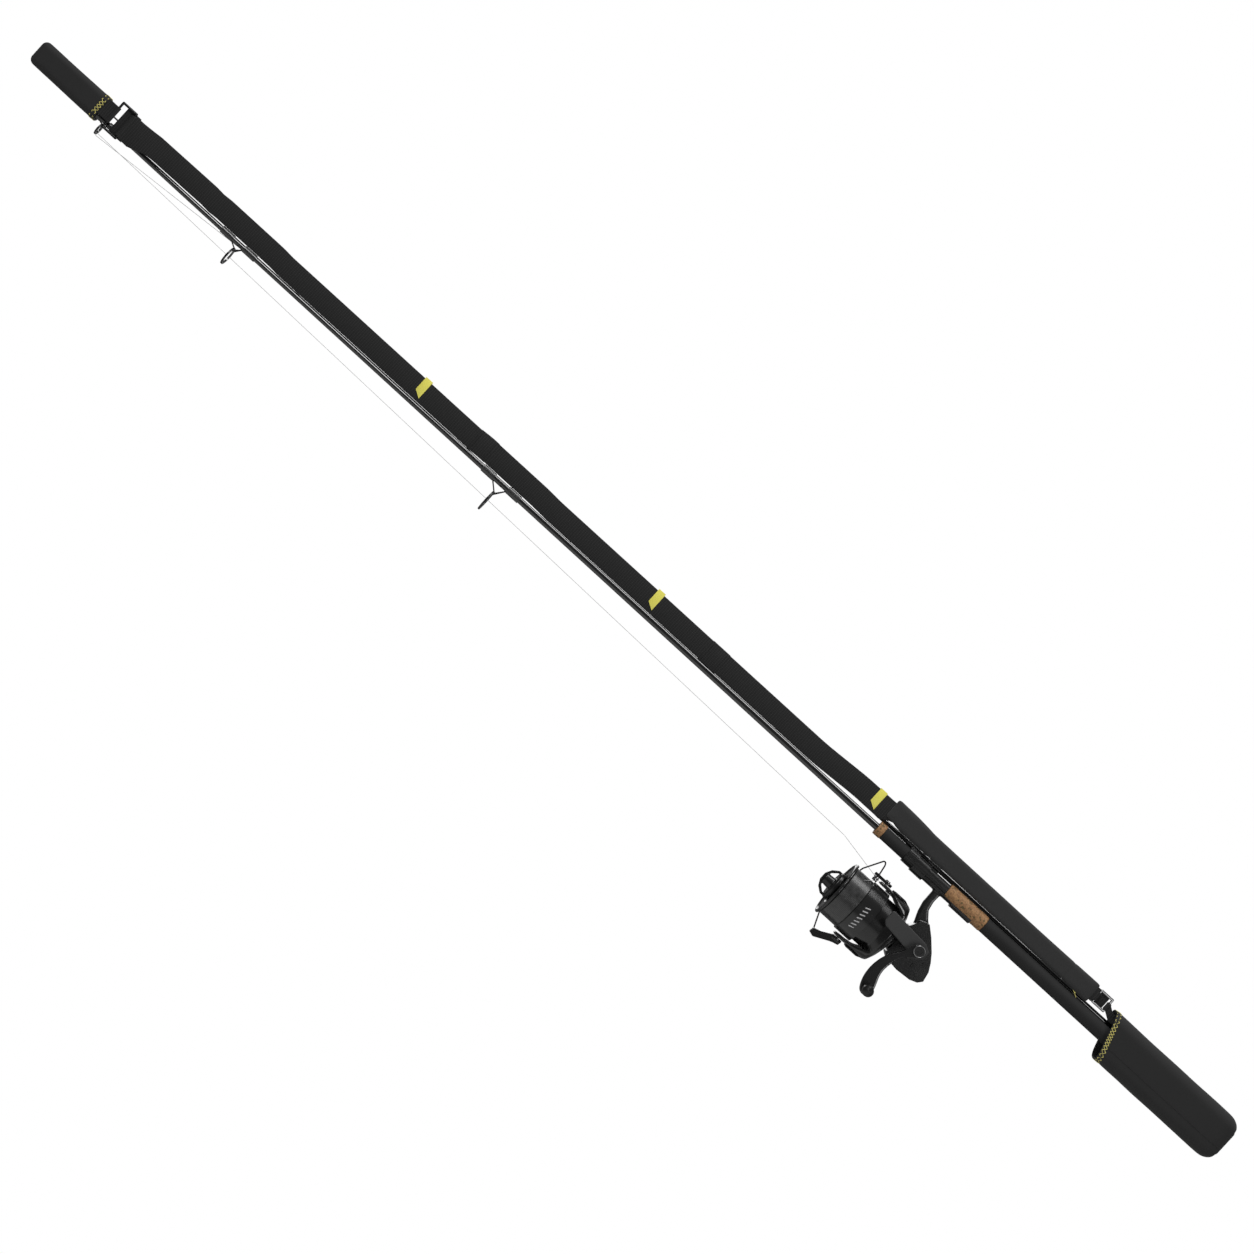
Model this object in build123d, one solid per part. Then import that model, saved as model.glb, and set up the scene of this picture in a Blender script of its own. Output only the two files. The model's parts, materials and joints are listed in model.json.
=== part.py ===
"""Two-piece spinning rod with a front-drag reel, strapped up for carrying.

The rod lies along X, tip end at -X and butt end at +X.  +Z is up, with the reel hung
below the rod, as it is held in use.  The origin is on the rod's axis above the reel's stem.
The two rod sections lie side by side, held by two slip-on covers and an elastic strap.
All sizes are in millimetres.
"""
import os
from math import cos, pi, radians, sin, sqrt

from build123d import *

# ------------------------------------------------------------------ rod sections
SECTION_LENGTH = 1765.0     # each of the two sections, which are of one length
BUTT_END_X = 425.0          # outer face of the butt cap
TOP_X = BUTT_END_X - SECTION_LENGTH     # ferrule end of the butt section
TIP_INSET = 59.0            # the tip section's socket ends this far inside the butt
BLANK_HANDLE_R = 4.4        # blank inside the handle
BLANK_TOP_R = 3.0           # blank at the ferrule end
BLANK_WALL = 0.9            # carbon tube wall
TIP_THICK_END_X = BUTT_END_X - TIP_INSET
TIP_TOP_X = TIP_THICK_END_X - SECTION_LENGTH
TIP_THICK_R = 3.4
TIP_THIN_R = 0.9
TIP_SIDE_Y = 9.5            # tip section lies behind and above the butt section
TIP_SIDE_Z = 11.0
FERRULE_LENGTH = 60.0
FERRULE_WALL = 0.7

# ------------------------------------------------------------------ line guides
# x on the rod, ring outside radius, height of the ring's centre from the blank's axis
BUTT_GUIDES = [
    (TOP_X + 651.0, 14.0, 25.5),
    (TOP_X + 242.0, 12.0, 18.5),
    (TOP_X + 34.0, 7.6, 11.0),
]
TIP_GUIDES = [
    (TIP_TOP_X + 1359.0, 6.0, 13.0),
    (TIP_TOP_X + 969.0, 5.0, 11.0),
    (TIP_TOP_X + 659.0, 4.4, 9.5),
    (TIP_TOP_X + 424.0, 4.0, 8.5),
    (TIP_TOP_X + 249.0, 3.4, 7.5),
]
TIP_TOP_R = 2.8
RING_WIRE_R = 1.0           # frame ring
INSERT_T = 0.9              # ceramic lining inside the frame ring
LEG_R = 0.8
FOOT_LENGTH = 17.0
FOOT_T = 0.8
WRAP_T = 1.0                # thread and varnish over a foot
LINE_R = 0.25

# ------------------------------------------------------------------ handle and reel seat
FORE_GRIP_X = (-94.0, -58.0)
FORE_GRIP_R = 8.0
CORK_RING_LENGTH = 9.0
CORK_RING_R = 8.7
SEAT_X = (-56.0, 63.0)
SEAT_R = 7.5
NUT_LENGTH = 12.0
NUT_R = SEAT_R + 2.7
HOOD_X = (-43.8, -26.0)
HOOD_WALL = 1.9
FOOT_X = (-37.0, 31.0)      # reel foot
FOOT_HALF_WIDTH = 6.6
FOOT_PLATE = 2.4
REAR_HOOD_X = (18.0, 48.0)
CORK_X = (5.0, 63.0)
CORK_R = SEAT_R + 2.5
REAR_GRIP_R = 9.5
REAR_GRIP_END_X = 403.0
CAP_R = 10.6
SEAT_FIT = 0.05             # running clearance, radius
FOOT_FIT = 0.12

# ------------------------------------------------------------------ covers, strap, pad
TIP_COVER_X = (TIP_TOP_X - 21.0, TOP_X + 22.0)
TIP_COVER_CENTRE = (4.5, 8.5)
TIP_COVER_HALF = (12.5, 16.5)
BUTT_COVER_X = (242.0, BUTT_END_X + 12.0)
BUTT_COVER_CENTRE = (2.5, 0.5)
BUTT_COVER_HALF = (17.5, 27.5)
MOUTH_SLANT = 17.0          # lower lip of the butt cover lies this far back
COVER_WALL = 3.0
COVER_NOSE_R = 10.0
STRAP_T = 2.0
STRAP_HALF = 13.5
STRAP_TAB_HALF = 16.5
STRAP_CORE_HALF = 9.0       # the narrow web inside the pad
STRAP_Y = -1.0
BUCKLE_Y = -7.6
PAD_X = (-106.0, 210.0)
PAD_T = 8.0
PAD_HALF = 12.3
PAD_END_HALF = 9.6
PAD_CORNER_R = 2.6
PAD_Z = (28.8, 26.6)        # pad centre height at its front, and from mid length on
TAGS_X = (TOP_X + 510.0, TOP_X + 872.0, PAD_X[0] - 19.0)
TAG_WIDTH = 10.0
TAG_T = 0.5
TOP_BUCKLE_X = (TIP_COVER_X[1] + 15.0, TIP_COVER_X[1] + 35.0)
TOP_BUCKLE_Z = (-7.5, 32.0)
STRAP_LINE = [              # x and centre height of the strap between the top buckle and the pad
    (TOP_X + 200.0, 18.1),
    (TOP_X + 592.0, 18.5),
    (TOP_X + 952.0, 19.8),
    (PAD_X[0], 22.0),
]
LOW_BUCKLE_X = (PAD_X[1] + 4.5, PAD_X[1] + 21.0)
LOW_BUCKLE_Z = (17.5, 37.0)
BUCKLE_WIRE_R = 1.5

# ------------------------------------------------------------------ reel
REEL_Z = -83.4              # reel axis below the rod axis
SHAFT_R = 2.0
SHAFT_X = (-103.0, 30.0)
SPOOL_LIP_X = -92.0
SPOOL_LIP_R = 36.0
SPOOL_SKIRT_X = -40.0
SPOOL_SKIRT_R = SPOOL_LIP_R - 1.0
SPOOL_ARBOR_R = 24.0
SPOOL_LINE_X = (-87.5, -63.5)
SPOOL_LINE_R = SPOOL_LIP_R - 2.6
SPOOL_WELL_R = SPOOL_ARBOR_R - 4.5      # drag well in the spool's front
SPOOL_WELL_X = -79.0
SKIRT_WALL = 2.0
KNOB_R = SPOOL_WELL_R - 1.3
KNOB_FRONT_X = -112.0
ROTOR_CUP_R = SPOOL_SKIRT_R - SKIRT_WALL - 1.6
ROTOR_CUP_X = (-45.0, -12.0)
ROTOR_ARM_R = SPOOL_LIP_R + 5.0
ROTOR_ARM_T = 3.4
ROTOR_ARM_FRONT_X = -59.0
TOP_ARM_PLAN = [            # x and half width of a rotor arm, clear of the roller as the bail opens
    (ROTOR_ARM_FRONT_X - 1, 6.0),
    (ROTOR_ARM_FRONT_X + 5, 8.0),
    (-41.0, 8.0),
    (-37.0, 13.0),
    (-29.0, 20.0),
    (ROTOR_CUP_X[1] + 1, 30.0),
]
LOW_ARM_PLAN = [
    (ROTOR_ARM_FRONT_X - 1, 6.5),
    (ROTOR_ARM_FRONT_X + 6, 9.0),
    (-44.0, 11.0),
    (-34.0, 15.0),
    (-24.0, 22.0),
    (ROTOR_CUP_X[1] + 1, 30.0),
]
BAIL_X = -51.5              # bail pivots, above and below the reel axis
BAIL_WIRE_R = 0.9
BAIL_ARM_T = 3.6
BAIL_GAP = 0.4
BAIL_SWEEP_R = 13.5         # the arm covers stay outside the bail arms' swing
ROLLER_X = -65.0
ROLLER_R = 3.6
PINION_R = SHAFT_R + 2.6
PINION_SLEEVE_R = SHAFT_R + 2.0
PINION_TEETH = 9
DRIVE_TEETH = 46
WORM_TEETH = 13
DRIVE_X = 20.0
DRIVE_Z = REEL_Z + 11.4
DRIVE_R = 16.0
DRIVE_FACE_Y = PINION_R + 0.15      # tooth tips of the drive gear, just clear of the pinion
DRIVE_SHAFT_R = 4.0
WORM_Z = REEL_Z - 11.2
WORM_R = 3.0
BODY_HALF_Y = 14.0
BODY_WALL = 2.2
COVER_PLATE = 2.6
STEM_HALF_Y = 4.6
GUARD_Y = (-ROTOR_ARM_R - 9.0, -ROTOR_ARM_R - 4.0)
ARM_Y = (GUARD_Y[0] - 9.0, GUARD_Y[0] - 2.5)
KNOB_LENGTH = 27.0
KNOB_PIN_R = 2.0
RUN = 0.05                  # running clearance, radius

os.makedirs("parts", exist_ok=True)
NODES = {}


def keep(name, shape):
    """Write one node, as one solid or as a group of separate solids."""
    solids = shape.solids() if not isinstance(shape, list) else [s for p in shape for s in p.solids()]
    NODES[name] = solids
    export_step(Compound(label=name, children=[Solid(s.wrapped) for s in solids]), f"parts/{name}.step")


def rod_x(r, x0, x1, y=0.0, z=0.0, r_end=None):
    """Cylinder, or cone when r_end is given, along X from x0 to x1."""
    length = x1 - x0
    end = r if r_end is None else r_end
    body = Cylinder(r, length) if end == r else Cone(r, end, length)
    return Location((0.5 * (x0 + x1), y, z)) * (Rotation(0, 90, 0) * body)


def rod_y(r, y0, y1, x=0.0, z=0.0):
    return Location((x, 0.5 * (y0 + y1), z)) * (Rotation(90, 0, 0) * Cylinder(r, y1 - y0))


def rod_z(r, z0, z1, x=0.0, y=0.0):
    return Location((x, y, 0.5 * (z0 + z1))) * Cylinder(r, z1 - z0)


def tube_x(r_out, r_in, x0, x1, y=0.0, z=0.0):
    return rod_x(r_out, x0, x1, y, z) - rod_x(r_in, x0 - 1, x1 + 1, y, z)


def block(x0, x1, y0, y1, z0, z1):
    centre = (0.5 * (x0 + x1), 0.5 * (y0 + y1), 0.5 * (z0 + z1))
    return Location(centre) * Box(x1 - x0, y1 - y0, z1 - z0)


def turned(points, y=0.0, z=0.0):
    """Solid of revolution about an X axis at (y, z), from (x, radius) points."""
    outline = Plane.XZ * make_face(Polyline(*points, close=True))
    return Location((0, y, z)) * revolve(outline, Axis.X)


def side_plate(points, y0, y1, rounded=False):
    """Plate standing in the XZ plane, from y0 to y1, outlined by (x, z) points."""
    edge = Spline(*points, periodic=True) if rounded else Polyline(*points, close=True)
    face = Plane.XZ * make_face(edge)
    return Location((0, y1, 0)) * extrude(face, y1 - y0)


def wire_along(points, radius, bend):
    """Round wire through points, with every corner bent to one radius."""
    path = FilletPolyline(*points, radius=bend) if len(points) > 2 else Line(*points)
    return sweep(Plane(path @ 0, z_dir=path % 0) * Circle(radius), path)


def blank_r(x):
    """Outside radius of the butt section's blank at x."""
    share = (x - TOP_X) / (FORE_GRIP_X[0] - TOP_X)
    return BLANK_TOP_R + (BLANK_HANDLE_R - BLANK_TOP_R) * min(1.0, share)


def tip_r(x):
    """Outside radius of the tip section's blank at x."""
    return TIP_THIN_R + (TIP_THICK_R - TIP_THIN_R) * (x - TIP_TOP_X) / SECTION_LENGTH


# ================================================================== the two rod sections
def rod_sections():
    top = TOP_X
    handle = FORE_GRIP_X[0]
    cap_seat = BUTT_END_X - 4.0
    outer = [(top, 0), (top, BLANK_TOP_R), (handle, BLANK_HANDLE_R),
             (cap_seat, BLANK_HANDLE_R), (cap_seat, 0)]
    bore = BLANK_WALL
    inner = [(top - 1, 0), (top - 1, BLANK_TOP_R - bore), (handle, BLANK_HANDLE_R - bore),
             (cap_seat + 1, BLANK_HANDLE_R - bore), (cap_seat + 1, 0)]
    keep("butt_blank", turned(outer) - turned(inner))
    thin = TIP_TOP_X
    solid_tip = rod_x(TIP_THIN_R, thin, TIP_THICK_END_X, TIP_SIDE_Y, TIP_SIDE_Z, TIP_THICK_R)
    socket = rod_x(TIP_THICK_R - BLANK_WALL, TIP_THICK_END_X - FERRULE_LENGTH, TIP_THICK_END_X + 1,
                   TIP_SIDE_Y, TIP_SIDE_Z)
    keep("tip_blank", solid_tip - socket)
    ring_start = TIP_THICK_END_X - FERRULE_LENGTH
    sleeve = rod_x(TIP_THICK_R + FERRULE_WALL, ring_start, TIP_THICK_END_X, TIP_SIDE_Y, TIP_SIDE_Z)
    keep("ferrule_sleeve", sleeve - solid_tip)


def less(shape, *tools):
    """Shape with the tools cut away, kept as one compound even where it falls in pieces."""
    result = shape
    for tool in tools:
        pieces = [piece - tool for piece in result.solids()]
        result = Compound([s for piece in pieces for s in piece.solids()])
    return result


def guide(x, ring_r, height, surface_r, leg_reach):
    """One guide hung below a blank on the X axis: frame ring, two feet and three legs."""
    hole_r = ring_r - 2 * RING_WIRE_R + 0.35
    frame = tube_x(ring_r, hole_r, x - RING_WIRE_R, x + RING_WIRE_R, 0, -height)
    for side in (-1, 1):
        inner = x + side * leg_reach
        outer = inner + side * FOOT_LENGTH
        low = block(min(inner, outer), max(inner, outer), -1.3, 1.3, -surface_r - FOOT_T, -surface_r + 0.4)
        frame += low
        start_z = -surface_r - FOOT_T + 0.2
        if side < 0:
            frame += wire_along([(inner - 1, 0, start_z), (x, 0, -height + ring_r - RING_WIRE_R)], LEG_R, 1)
        else:
            for y in (-1, 1):
                grip = 0.72 * (ring_r - RING_WIRE_R)
                hold = sqrt((ring_r - RING_WIRE_R) ** 2 - grip ** 2)
                frame += wire_along([(inner + 1, 0, start_z), (x, y * grip, -height + hold)], LEG_R, 1)
    frame = less(frame, rod_x(hole_r, x - 4, x + 4, 0, -height))
    lining = tube_x(hole_r, hole_r - INSERT_T, x - 1.1, x + 1.1, 0, -height)
    return frame, lining


def wraps(x, surface_r, leg_reach):
    """Thread over both feet of one guide, as short sleeves on the blank."""
    bands = []
    for side in (-1, 1):
        near = x + side * (leg_reach + 2.5)
        far = x + side * (leg_reach + FOOT_LENGTH + 3.0)
        bands.append((min(near, far), max(near, far), surface_r + WRAP_T))
    return bands


def guides():
    frames, linings, threads = [], [], []
    for x, ring_r, height in BUTT_GUIDES:
        reach = 0.32 * height
        blank = rod_x(blank_r(x - 40), x - 40, x + 40, r_end=blank_r(x + 40))
        frame, lining = guide(x, ring_r, height, blank_r(x), reach)
        frame = less(frame, blank)
        frames.append(frame)
        linings.append(lining)
        for x0, x1, r in wraps(x, blank_r(x), reach):
            threads.append(less(rod_x(r, x0, x1), blank, frame))
    keep("butt_guide_frames", frames)
    frames = []
    turn = Location((0, TIP_SIDE_Y, TIP_SIDE_Z)) * Rotation(90, 0, 0)
    for x, ring_r, height in TIP_GUIDES:
        reach = 0.4 * height
        blank = rod_x(tip_r(x - 40), x - 40, x + 40, r_end=tip_r(x + 40))
        frame, lining = guide(x, ring_r, height, tip_r(x), reach)
        frame = less(frame, blank)
        frames.append(turn * frame)
        linings.append(turn * lining)
        for x0, x1, r in wraps(x, tip_r(x), reach):
            threads.append(turn * less(rod_x(r, x0, x1), blank, frame))
    thin = TIP_TOP_X
    tube = tube_x(TIP_THIN_R + 0.5, tip_r(thin + 12), thin, thin + 12, TIP_SIDE_Y, TIP_SIDE_Z)
    tube -= rod_x(TIP_THIN_R, thin, TIP_THICK_END_X, TIP_SIDE_Y, TIP_SIDE_Z, TIP_THICK_R)
    lug_z = TIP_SIDE_Z - TIP_THIN_R
    lug = block(thin, thin + 3, TIP_SIDE_Y - 0.8, TIP_SIDE_Y + 0.8, lug_z - 1.6, lug_z - 0.2)
    ring = tube_x(TIP_TOP_R, TIP_TOP_R - 1.2, thin + 0.8, thin + 2.2, TIP_SIDE_Y, lug_z - 1.0 - TIP_TOP_R)
    keep("tip_guide_frames", frames + [tube + lug + ring])
    keep("guide_rings", linings)
    keep("thread_wraps", threads)


# ================================================================== handle and reel seat
def foot_shape(grow=0.0):
    """The reel's foot: a curved plate that lies along the underside of the seat."""
    outer = rod_x(SEAT_R + FOOT_PLATE + grow, FOOT_X[0] - grow, FOOT_X[1] + grow)
    half = FOOT_HALF_WIDTH + grow
    plate = outer & block(FOOT_X[0] - grow, FOOT_X[1] + grow, -half, half, -20, -2)
    return plate - rod_x(SEAT_R, FOOT_X[0] - 5, FOOT_X[1] + 5)


def handle():
    bore = BLANK_HANDLE_R
    nut_x0 = SEAT_X[0] - 2.0
    seat = tube_x(SEAT_R, bore, *SEAT_X)
    hood_r = SEAT_R + FOOT_PLATE + HOOD_WALL
    half = FOOT_HALF_WIDTH + 1.0
    rear = (rod_x(hood_r, *REAR_HOOD_X) - rod_x(SEAT_R, REAR_HOOD_X[0] - 1, REAR_HOOD_X[1] + 1))
    rear &= block(*REAR_HOOD_X, -half, half, -20, -1)
    keep("reel_seat", seat + (rear - foot_shape(FOOT_FIT)))
    hood = tube_x(SEAT_R + HOOD_WALL - 0.3, SEAT_R + SEAT_FIT, *HOOD_X)
    hood += (rod_x(hood_r, *HOOD_X) - rod_x(SEAT_R + SEAT_FIT, HOOD_X[0] - 1, HOOD_X[1] + 1)) & block(
        *HOOD_X, -half, half, -20, -1)
    pocket = foot_shape(FOOT_FIT) & block(FOOT_X[0] - FOOT_FIT, HOOD_X[1] + 1, -20, 20, -20, 0)
    keep("moving_hood", hood - pocket)
    nut = tube_x(NUT_R, SEAT_R + SEAT_FIT, nut_x0, nut_x0 + NUT_LENGTH + 2)
    flange = tube_x(NUT_R, bore + SEAT_FIT, nut_x0, nut_x0 + 1.9)
    flutes = [rod_x(1.2, nut_x0 - 1, HOOD_X[0], (NUT_R + 0.5) * cos(a), (NUT_R + 0.5) * sin(a))
              for a in [radians(30 * k) for k in range(12)]]
    nut = nut + flange
    for flute in flutes:
        nut -= flute
    keep("lock_nut", nut)
    keep("fore_grip", tube_x(FORE_GRIP_R, bore + SEAT_FIT, *FORE_GRIP_X))
    ring_x0 = FORE_GRIP_X[0] - CORK_RING_LENGTH
    keep("cork_ring", tube_x(CORK_RING_R, bore + SEAT_FIT, ring_x0, FORE_GRIP_X[0]))
    cork = tube_x(CORK_R, SEAT_R, *CORK_X)
    cork = fillet(cork.edges().filter_by(GeomType.CIRCLE).group_by(SortBy.RADIUS)[-1], 1.8)
    clear = half + FOOT_FIT
    cork -= block(CORK_X[0] - 1, REAR_HOOD_X[1] + FOOT_FIT, -clear, clear, -20, 0)
    keep("cork_insert", cork)
    keep("rear_grip", tube_x(REAR_GRIP_R, bore, SEAT_X[1], REAR_GRIP_END_X))
    cap = rod_x(CAP_R, REAR_GRIP_END_X, BUTT_END_X)
    cap = fillet(cap.edges().filter_by(GeomType.CIRCLE).sort_by(Axis.X)[-1], 4.0)
    cap -= rod_x(bore, REAR_GRIP_END_X - 1, BUTT_END_X - 4.0)
    keep("butt_cap", cap)


# ================================================================== covers, strap and buckles
def pocket_cover(x_closed, x_mouth, centre, half, slant=0.0):
    """Stitched neoprene pocket, closed at x_closed and open at x_mouth."""
    def ring(x, shrink):
        corner = (half[0] - shrink) * 0.62
        face = RectangleRounded(2 * (half[0] - shrink), 2 * (half[1] - shrink), corner)
        return Plane(origin=(x, *centre), x_dir=(0, 1, 0), z_dir=(1, 0, 0)) * face
    step = 1 if x_mouth > x_closed else -1
    shell = loft([ring(x_closed + step * COVER_NOSE_R, 0), ring(x_mouth, 0)])
    nose = loft([ring(x_closed, 0.5 * COVER_NOSE_R), ring(x_closed + step * COVER_NOSE_R * 0.35, 1.8),
                 ring(x_closed + step * COVER_NOSE_R, 0)], ruled=True)
    inside = loft([ring(x_closed + step * (COVER_NOSE_R + COVER_WALL), COVER_WALL),
                   ring(x_mouth + step * 5, COVER_WALL)])
    end_wall = loft([ring(x_closed + step * COVER_WALL, 0.5 * COVER_NOSE_R + COVER_WALL),
                     ring(x_closed + step * (COVER_NOSE_R + COVER_WALL), COVER_WALL)], ruled=True)
    cover = shell + nose - inside - end_wall
    if slant:
        top = centre[1] + half[1]
        low = centre[1] - half[1]
        wedge = side_plate([(x_mouth - 5, top + 5), (x_mouth, top), (x_mouth + slant, low),
                            (x_mouth + slant, low - 5), (x_mouth - 5, low - 5)], -60, 60)
        cover -= wedge
    return cover


def strap_section(x, y, z, half, thick=STRAP_T):
    return Plane(origin=(x, y, z), x_dir=(0, 1, 0), z_dir=(1, 0, 0)) * Rectangle(thick, 2 * half)


def soft_goods():
    keep("tip_cover", pocket_cover(*TIP_COVER_X, TIP_COVER_CENTRE, TIP_COVER_HALF))
    mouth_x, closed_x = BUTT_COVER_X
    keep("butt_cover", pocket_cover(closed_x, mouth_x, BUTT_COVER_CENTRE, BUTT_COVER_HALF, MOUTH_SLANT))
    tab_z = 0.5 * (TOP_BUCKLE_Z[0] + TOP_BUCKLE_Z[1])
    tab_x = TOP_BUCKLE_X[1] + BUCKLE_WIRE_R + 0.3
    pad_mid = 0.3 * PAD_X[0] + 0.7 * PAD_X[1]
    stations = [(tab_x, BUCKLE_Y, tab_z, STRAP_TAB_HALF), (tab_x + 22, BUCKLE_Y, tab_z, STRAP_TAB_HALF),
                (tab_x + 30, BUCKLE_Y + 0.3, 17.0, STRAP_HALF)]
    stations += [(x, STRAP_Y, z, STRAP_HALF) for x, z in STRAP_LINE]
    stations += [(PAD_X[0] + 14, STRAP_Y, 27.5, STRAP_CORE_HALF),
                (pad_mid, STRAP_Y, PAD_Z[1], STRAP_CORE_HALF),
                (LOW_BUCKLE_X[0] - BUCKLE_WIRE_R - 0.3, STRAP_Y, PAD_Z[1], STRAP_CORE_HALF)]
    strap = loft([strap_section(*s) for s in stations], ruled=True)
    loops = []
    for bar_x, y, z, half, reach in ((TOP_BUCKLE_X[1], BUCKLE_Y, tab_z, STRAP_TAB_HALF - 1.5, 1),
                                     (LOW_BUCKLE_X[0], STRAP_Y, PAD_Z[1], STRAP_CORE_HALF - 3.2, -1)):
        eye = rod_z(BUCKLE_WIRE_R + 1.5, z - half, z + half, bar_x, y)
        eye -= rod_z(BUCKLE_WIRE_R + 0.1, z - half - 1, z + half + 1, bar_x, y)
        loops.append(eye)
    eyes = loops[0] + loops[1]
    bars = rod_z(BUCKLE_WIRE_R + 0.1, -40, 60, TOP_BUCKLE_X[1], BUCKLE_Y)
    bars += rod_z(BUCKLE_WIRE_R + 0.1, -40, 60, LOW_BUCKLE_X[0], STRAP_Y)
    keep("elastic_strap", strap + eyes - bars)
    tags = []
    for x in TAGS_X:
        (x0, z0), (x1, z1) = STRAP_LINE[0], STRAP_LINE[-1]
        z = z0 + (z1 - z0) * (x - x0) / (x1 - x0)
        y0 = STRAP_Y - 0.5 * STRAP_T - TAG_T
        y1 = STRAP_Y + 0.5 * STRAP_T + TAG_T
        low = z - STRAP_HALF + 3.5
        outline = [(x - 0.5 * TAG_WIDTH, z + STRAP_HALF + 1.1), (x + 0.5 * TAG_WIDTH, z + STRAP_HALF + 1.1),
                   (x + 0.5 * TAG_WIDTH, low), (x - 0.5 * TAG_WIDTH, low + 6)]
        tags.append(side_plate(outline, y0, y1) - strap)
    keep("strap_tags", tags)
    pad_stations = [(PAD_X[0], PAD_Z[0], PAD_HALF + 0.6), (PAD_X[0] + 30, PAD_Z[0], PAD_HALF + 0.3),
                    (PAD_X[0] + 60, PAD_Z[1] + 0.8, PAD_HALF), (pad_mid, PAD_Z[1], PAD_HALF),
                    (PAD_X[1], PAD_Z[1], PAD_END_HALF)]
    pad_shapes = []
    for x, z, half in pad_stations:
        across = Plane(origin=(x, STRAP_Y, z), x_dir=(0, 1, 0), z_dir=(1, 0, 0))
        pad_shapes.append(across * RectangleRounded(PAD_T, 2 * half, PAD_CORNER_R))
    keep("strap_pad", loft(pad_shapes, ruled=True) - strap)
    for name, xs, zs, y in (("top_buckle", TOP_BUCKLE_X, TOP_BUCKLE_Z, BUCKLE_Y),
                            ("bottom_buckle", LOW_BUCKLE_X, LOW_BUCKLE_Z, STRAP_Y)):
        frame = None
        for x in xs:
            bar = rod_z(BUCKLE_WIRE_R, zs[0] + BUCKLE_WIRE_R, zs[1] - BUCKLE_WIRE_R, x, y)
            frame = bar if frame is None else frame + bar
        for z in (zs[0] + BUCKLE_WIRE_R, zs[1] - BUCKLE_WIRE_R):
            frame += rod_x(BUCKLE_WIRE_R, xs[0], xs[1], y, z)
            for x in xs:
                frame += Location((x, y, z)) * Sphere(BUCKLE_WIRE_R)
        keep(name, frame)
    lip = TIP_COVER_X[1]
    top_eye = rod_z(BUCKLE_WIRE_R + 1.3, tab_z - 11, tab_z + 11, TOP_BUCKLE_X[0], BUCKLE_Y)
    top_tab = block(lip, TOP_BUCKLE_X[0] - 1.2, BUCKLE_Y - 1.0, BUCKLE_Y + 1.0, tab_z - 11, tab_z + 11)
    top_bar = rod_z(BUCKLE_WIRE_R + 0.05, tab_z - 20, tab_z + 20, TOP_BUCKLE_X[0], BUCKLE_Y)
    keep("tip_cover_loop", top_eye + top_tab - top_bar)
    low_z = (14.5, BUTT_COVER_CENTRE[1] + BUTT_COVER_HALF[1] - COVER_WALL - 0.3)
    eye_z = (LOW_BUCKLE_Z[0] + 2 * BUCKLE_WIRE_R + 0.3, low_z[1] + 6)
    low_eye = rod_z(BUCKLE_WIRE_R + 1.3, *eye_z, LOW_BUCKLE_X[1], STRAP_Y)
    web = side_plate([(LOW_BUCKLE_X[1] + 1.2, eye_z[0]), (LOW_BUCKLE_X[1] + 1.2, eye_z[1]),
                      (BUTT_COVER_X[0] - 1, low_z[1]), (BUTT_COVER_X[0] + 26, low_z[1]),
                      (BUTT_COVER_X[0] + 26, low_z[0]), (BUTT_COVER_X[0], low_z[0])],
                     STRAP_Y - 1.0, STRAP_Y + 1.0)
    low_eye = low_eye + web - rod_z(BUCKLE_WIRE_R + 0.05, 0, 60, LOW_BUCKLE_X[1], STRAP_Y)
    keep("butt_cover_loop", low_eye)


# ================================================================== fishing line outside the reel
LAY_R = SPOOL_LINE_R + 0.6      # the lead reaches the wound line here, on the crank side
LAY_ANGLE = radians(33.97)      # from straight up


def line_runs():
    ring3_x, ring3_r, ring3_h = BUTT_GUIDES[2]
    start = (ring3_x - 1.6, 0.0, -ring3_h - ring3_r + 2 * RING_WIRE_R + INSERT_T)
    lead_start = (-125.0, 0.0, -32.4)
    keep("fishing_line", wire_along([start, lead_start], LINE_R, 1))
    knot_x, knot_r, knot_h = TIP_GUIDES[3]
    back_start = (ring3_x + 1.6, 1.4, -ring3_h - ring3_r - LINE_R - 0.1)
    knot = (knot_x + 1.4, TIP_SIDE_Y + knot_h, TIP_SIDE_Z - knot_r - 0.4)
    keep("tied_off_line", wire_along([back_start, knot], LINE_R, 1))
    roller_z = REEL_Z + SPOOL_LIP_R + 3.0
    turn_x = ROLLER_X + ROLLER_R + 0.5
    lay = (0.5 * sum(SPOOL_LINE_X), -LAY_R * sin(LAY_ANGLE), REEL_Z + LAY_R * cos(LAY_ANGLE))
    lead = [(lead_start[0] + 0.4, 0, lead_start[2]), (turn_x, 2.2, roller_z),
            (turn_x, -ROLLER_R - 2.2, roller_z), lay]
    keep("line_lead", wire_along(lead, LINE_R, 2.4))


# ================================================================== reel housing
# x and height above the reel's axis
BODY_OUTLINE = [
    (-1, 25.4), (-1, -16.6), (5, -20.6), (21, -22.6), (40, -21.1), (49, -17.6), (53.5, -12.1),
    (51, -0.1), (45.7, 9.4), (38.6, 18.9), (26.4, 31.6), (15, 41.4), (6, 37.4),
]
STEM_LOW_OUTLINE = [(-3.7, 43.8), (1.5, 31.4), (3, 21.4), (26, 25.4), (24, 33.4), (12, 44.0)]
GUARD_OUTLINE = [
    (-31, 24.4), (-29, 26.4), (22, 22.4), (31, 17.4), (31, 7.4), (24, 1.4), (-27, 7.4), (-31, 11.4),
]
REAR_OUTLINE = [
    (-1, -13.6), (14, -15.1), (30, -14.1), (40, -8.6), (60, 7.4), (60, -26.6), (-1, -26.6),
]
# x and height below the rod's axis, next to the foot
STEM_TOP_FRONT = [(-7, -8), (-6.5, -27.8)]
STEM_TOP_REAR = [(4.8, -30.8), (2.6, -20), (3.0, -8)]


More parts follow.
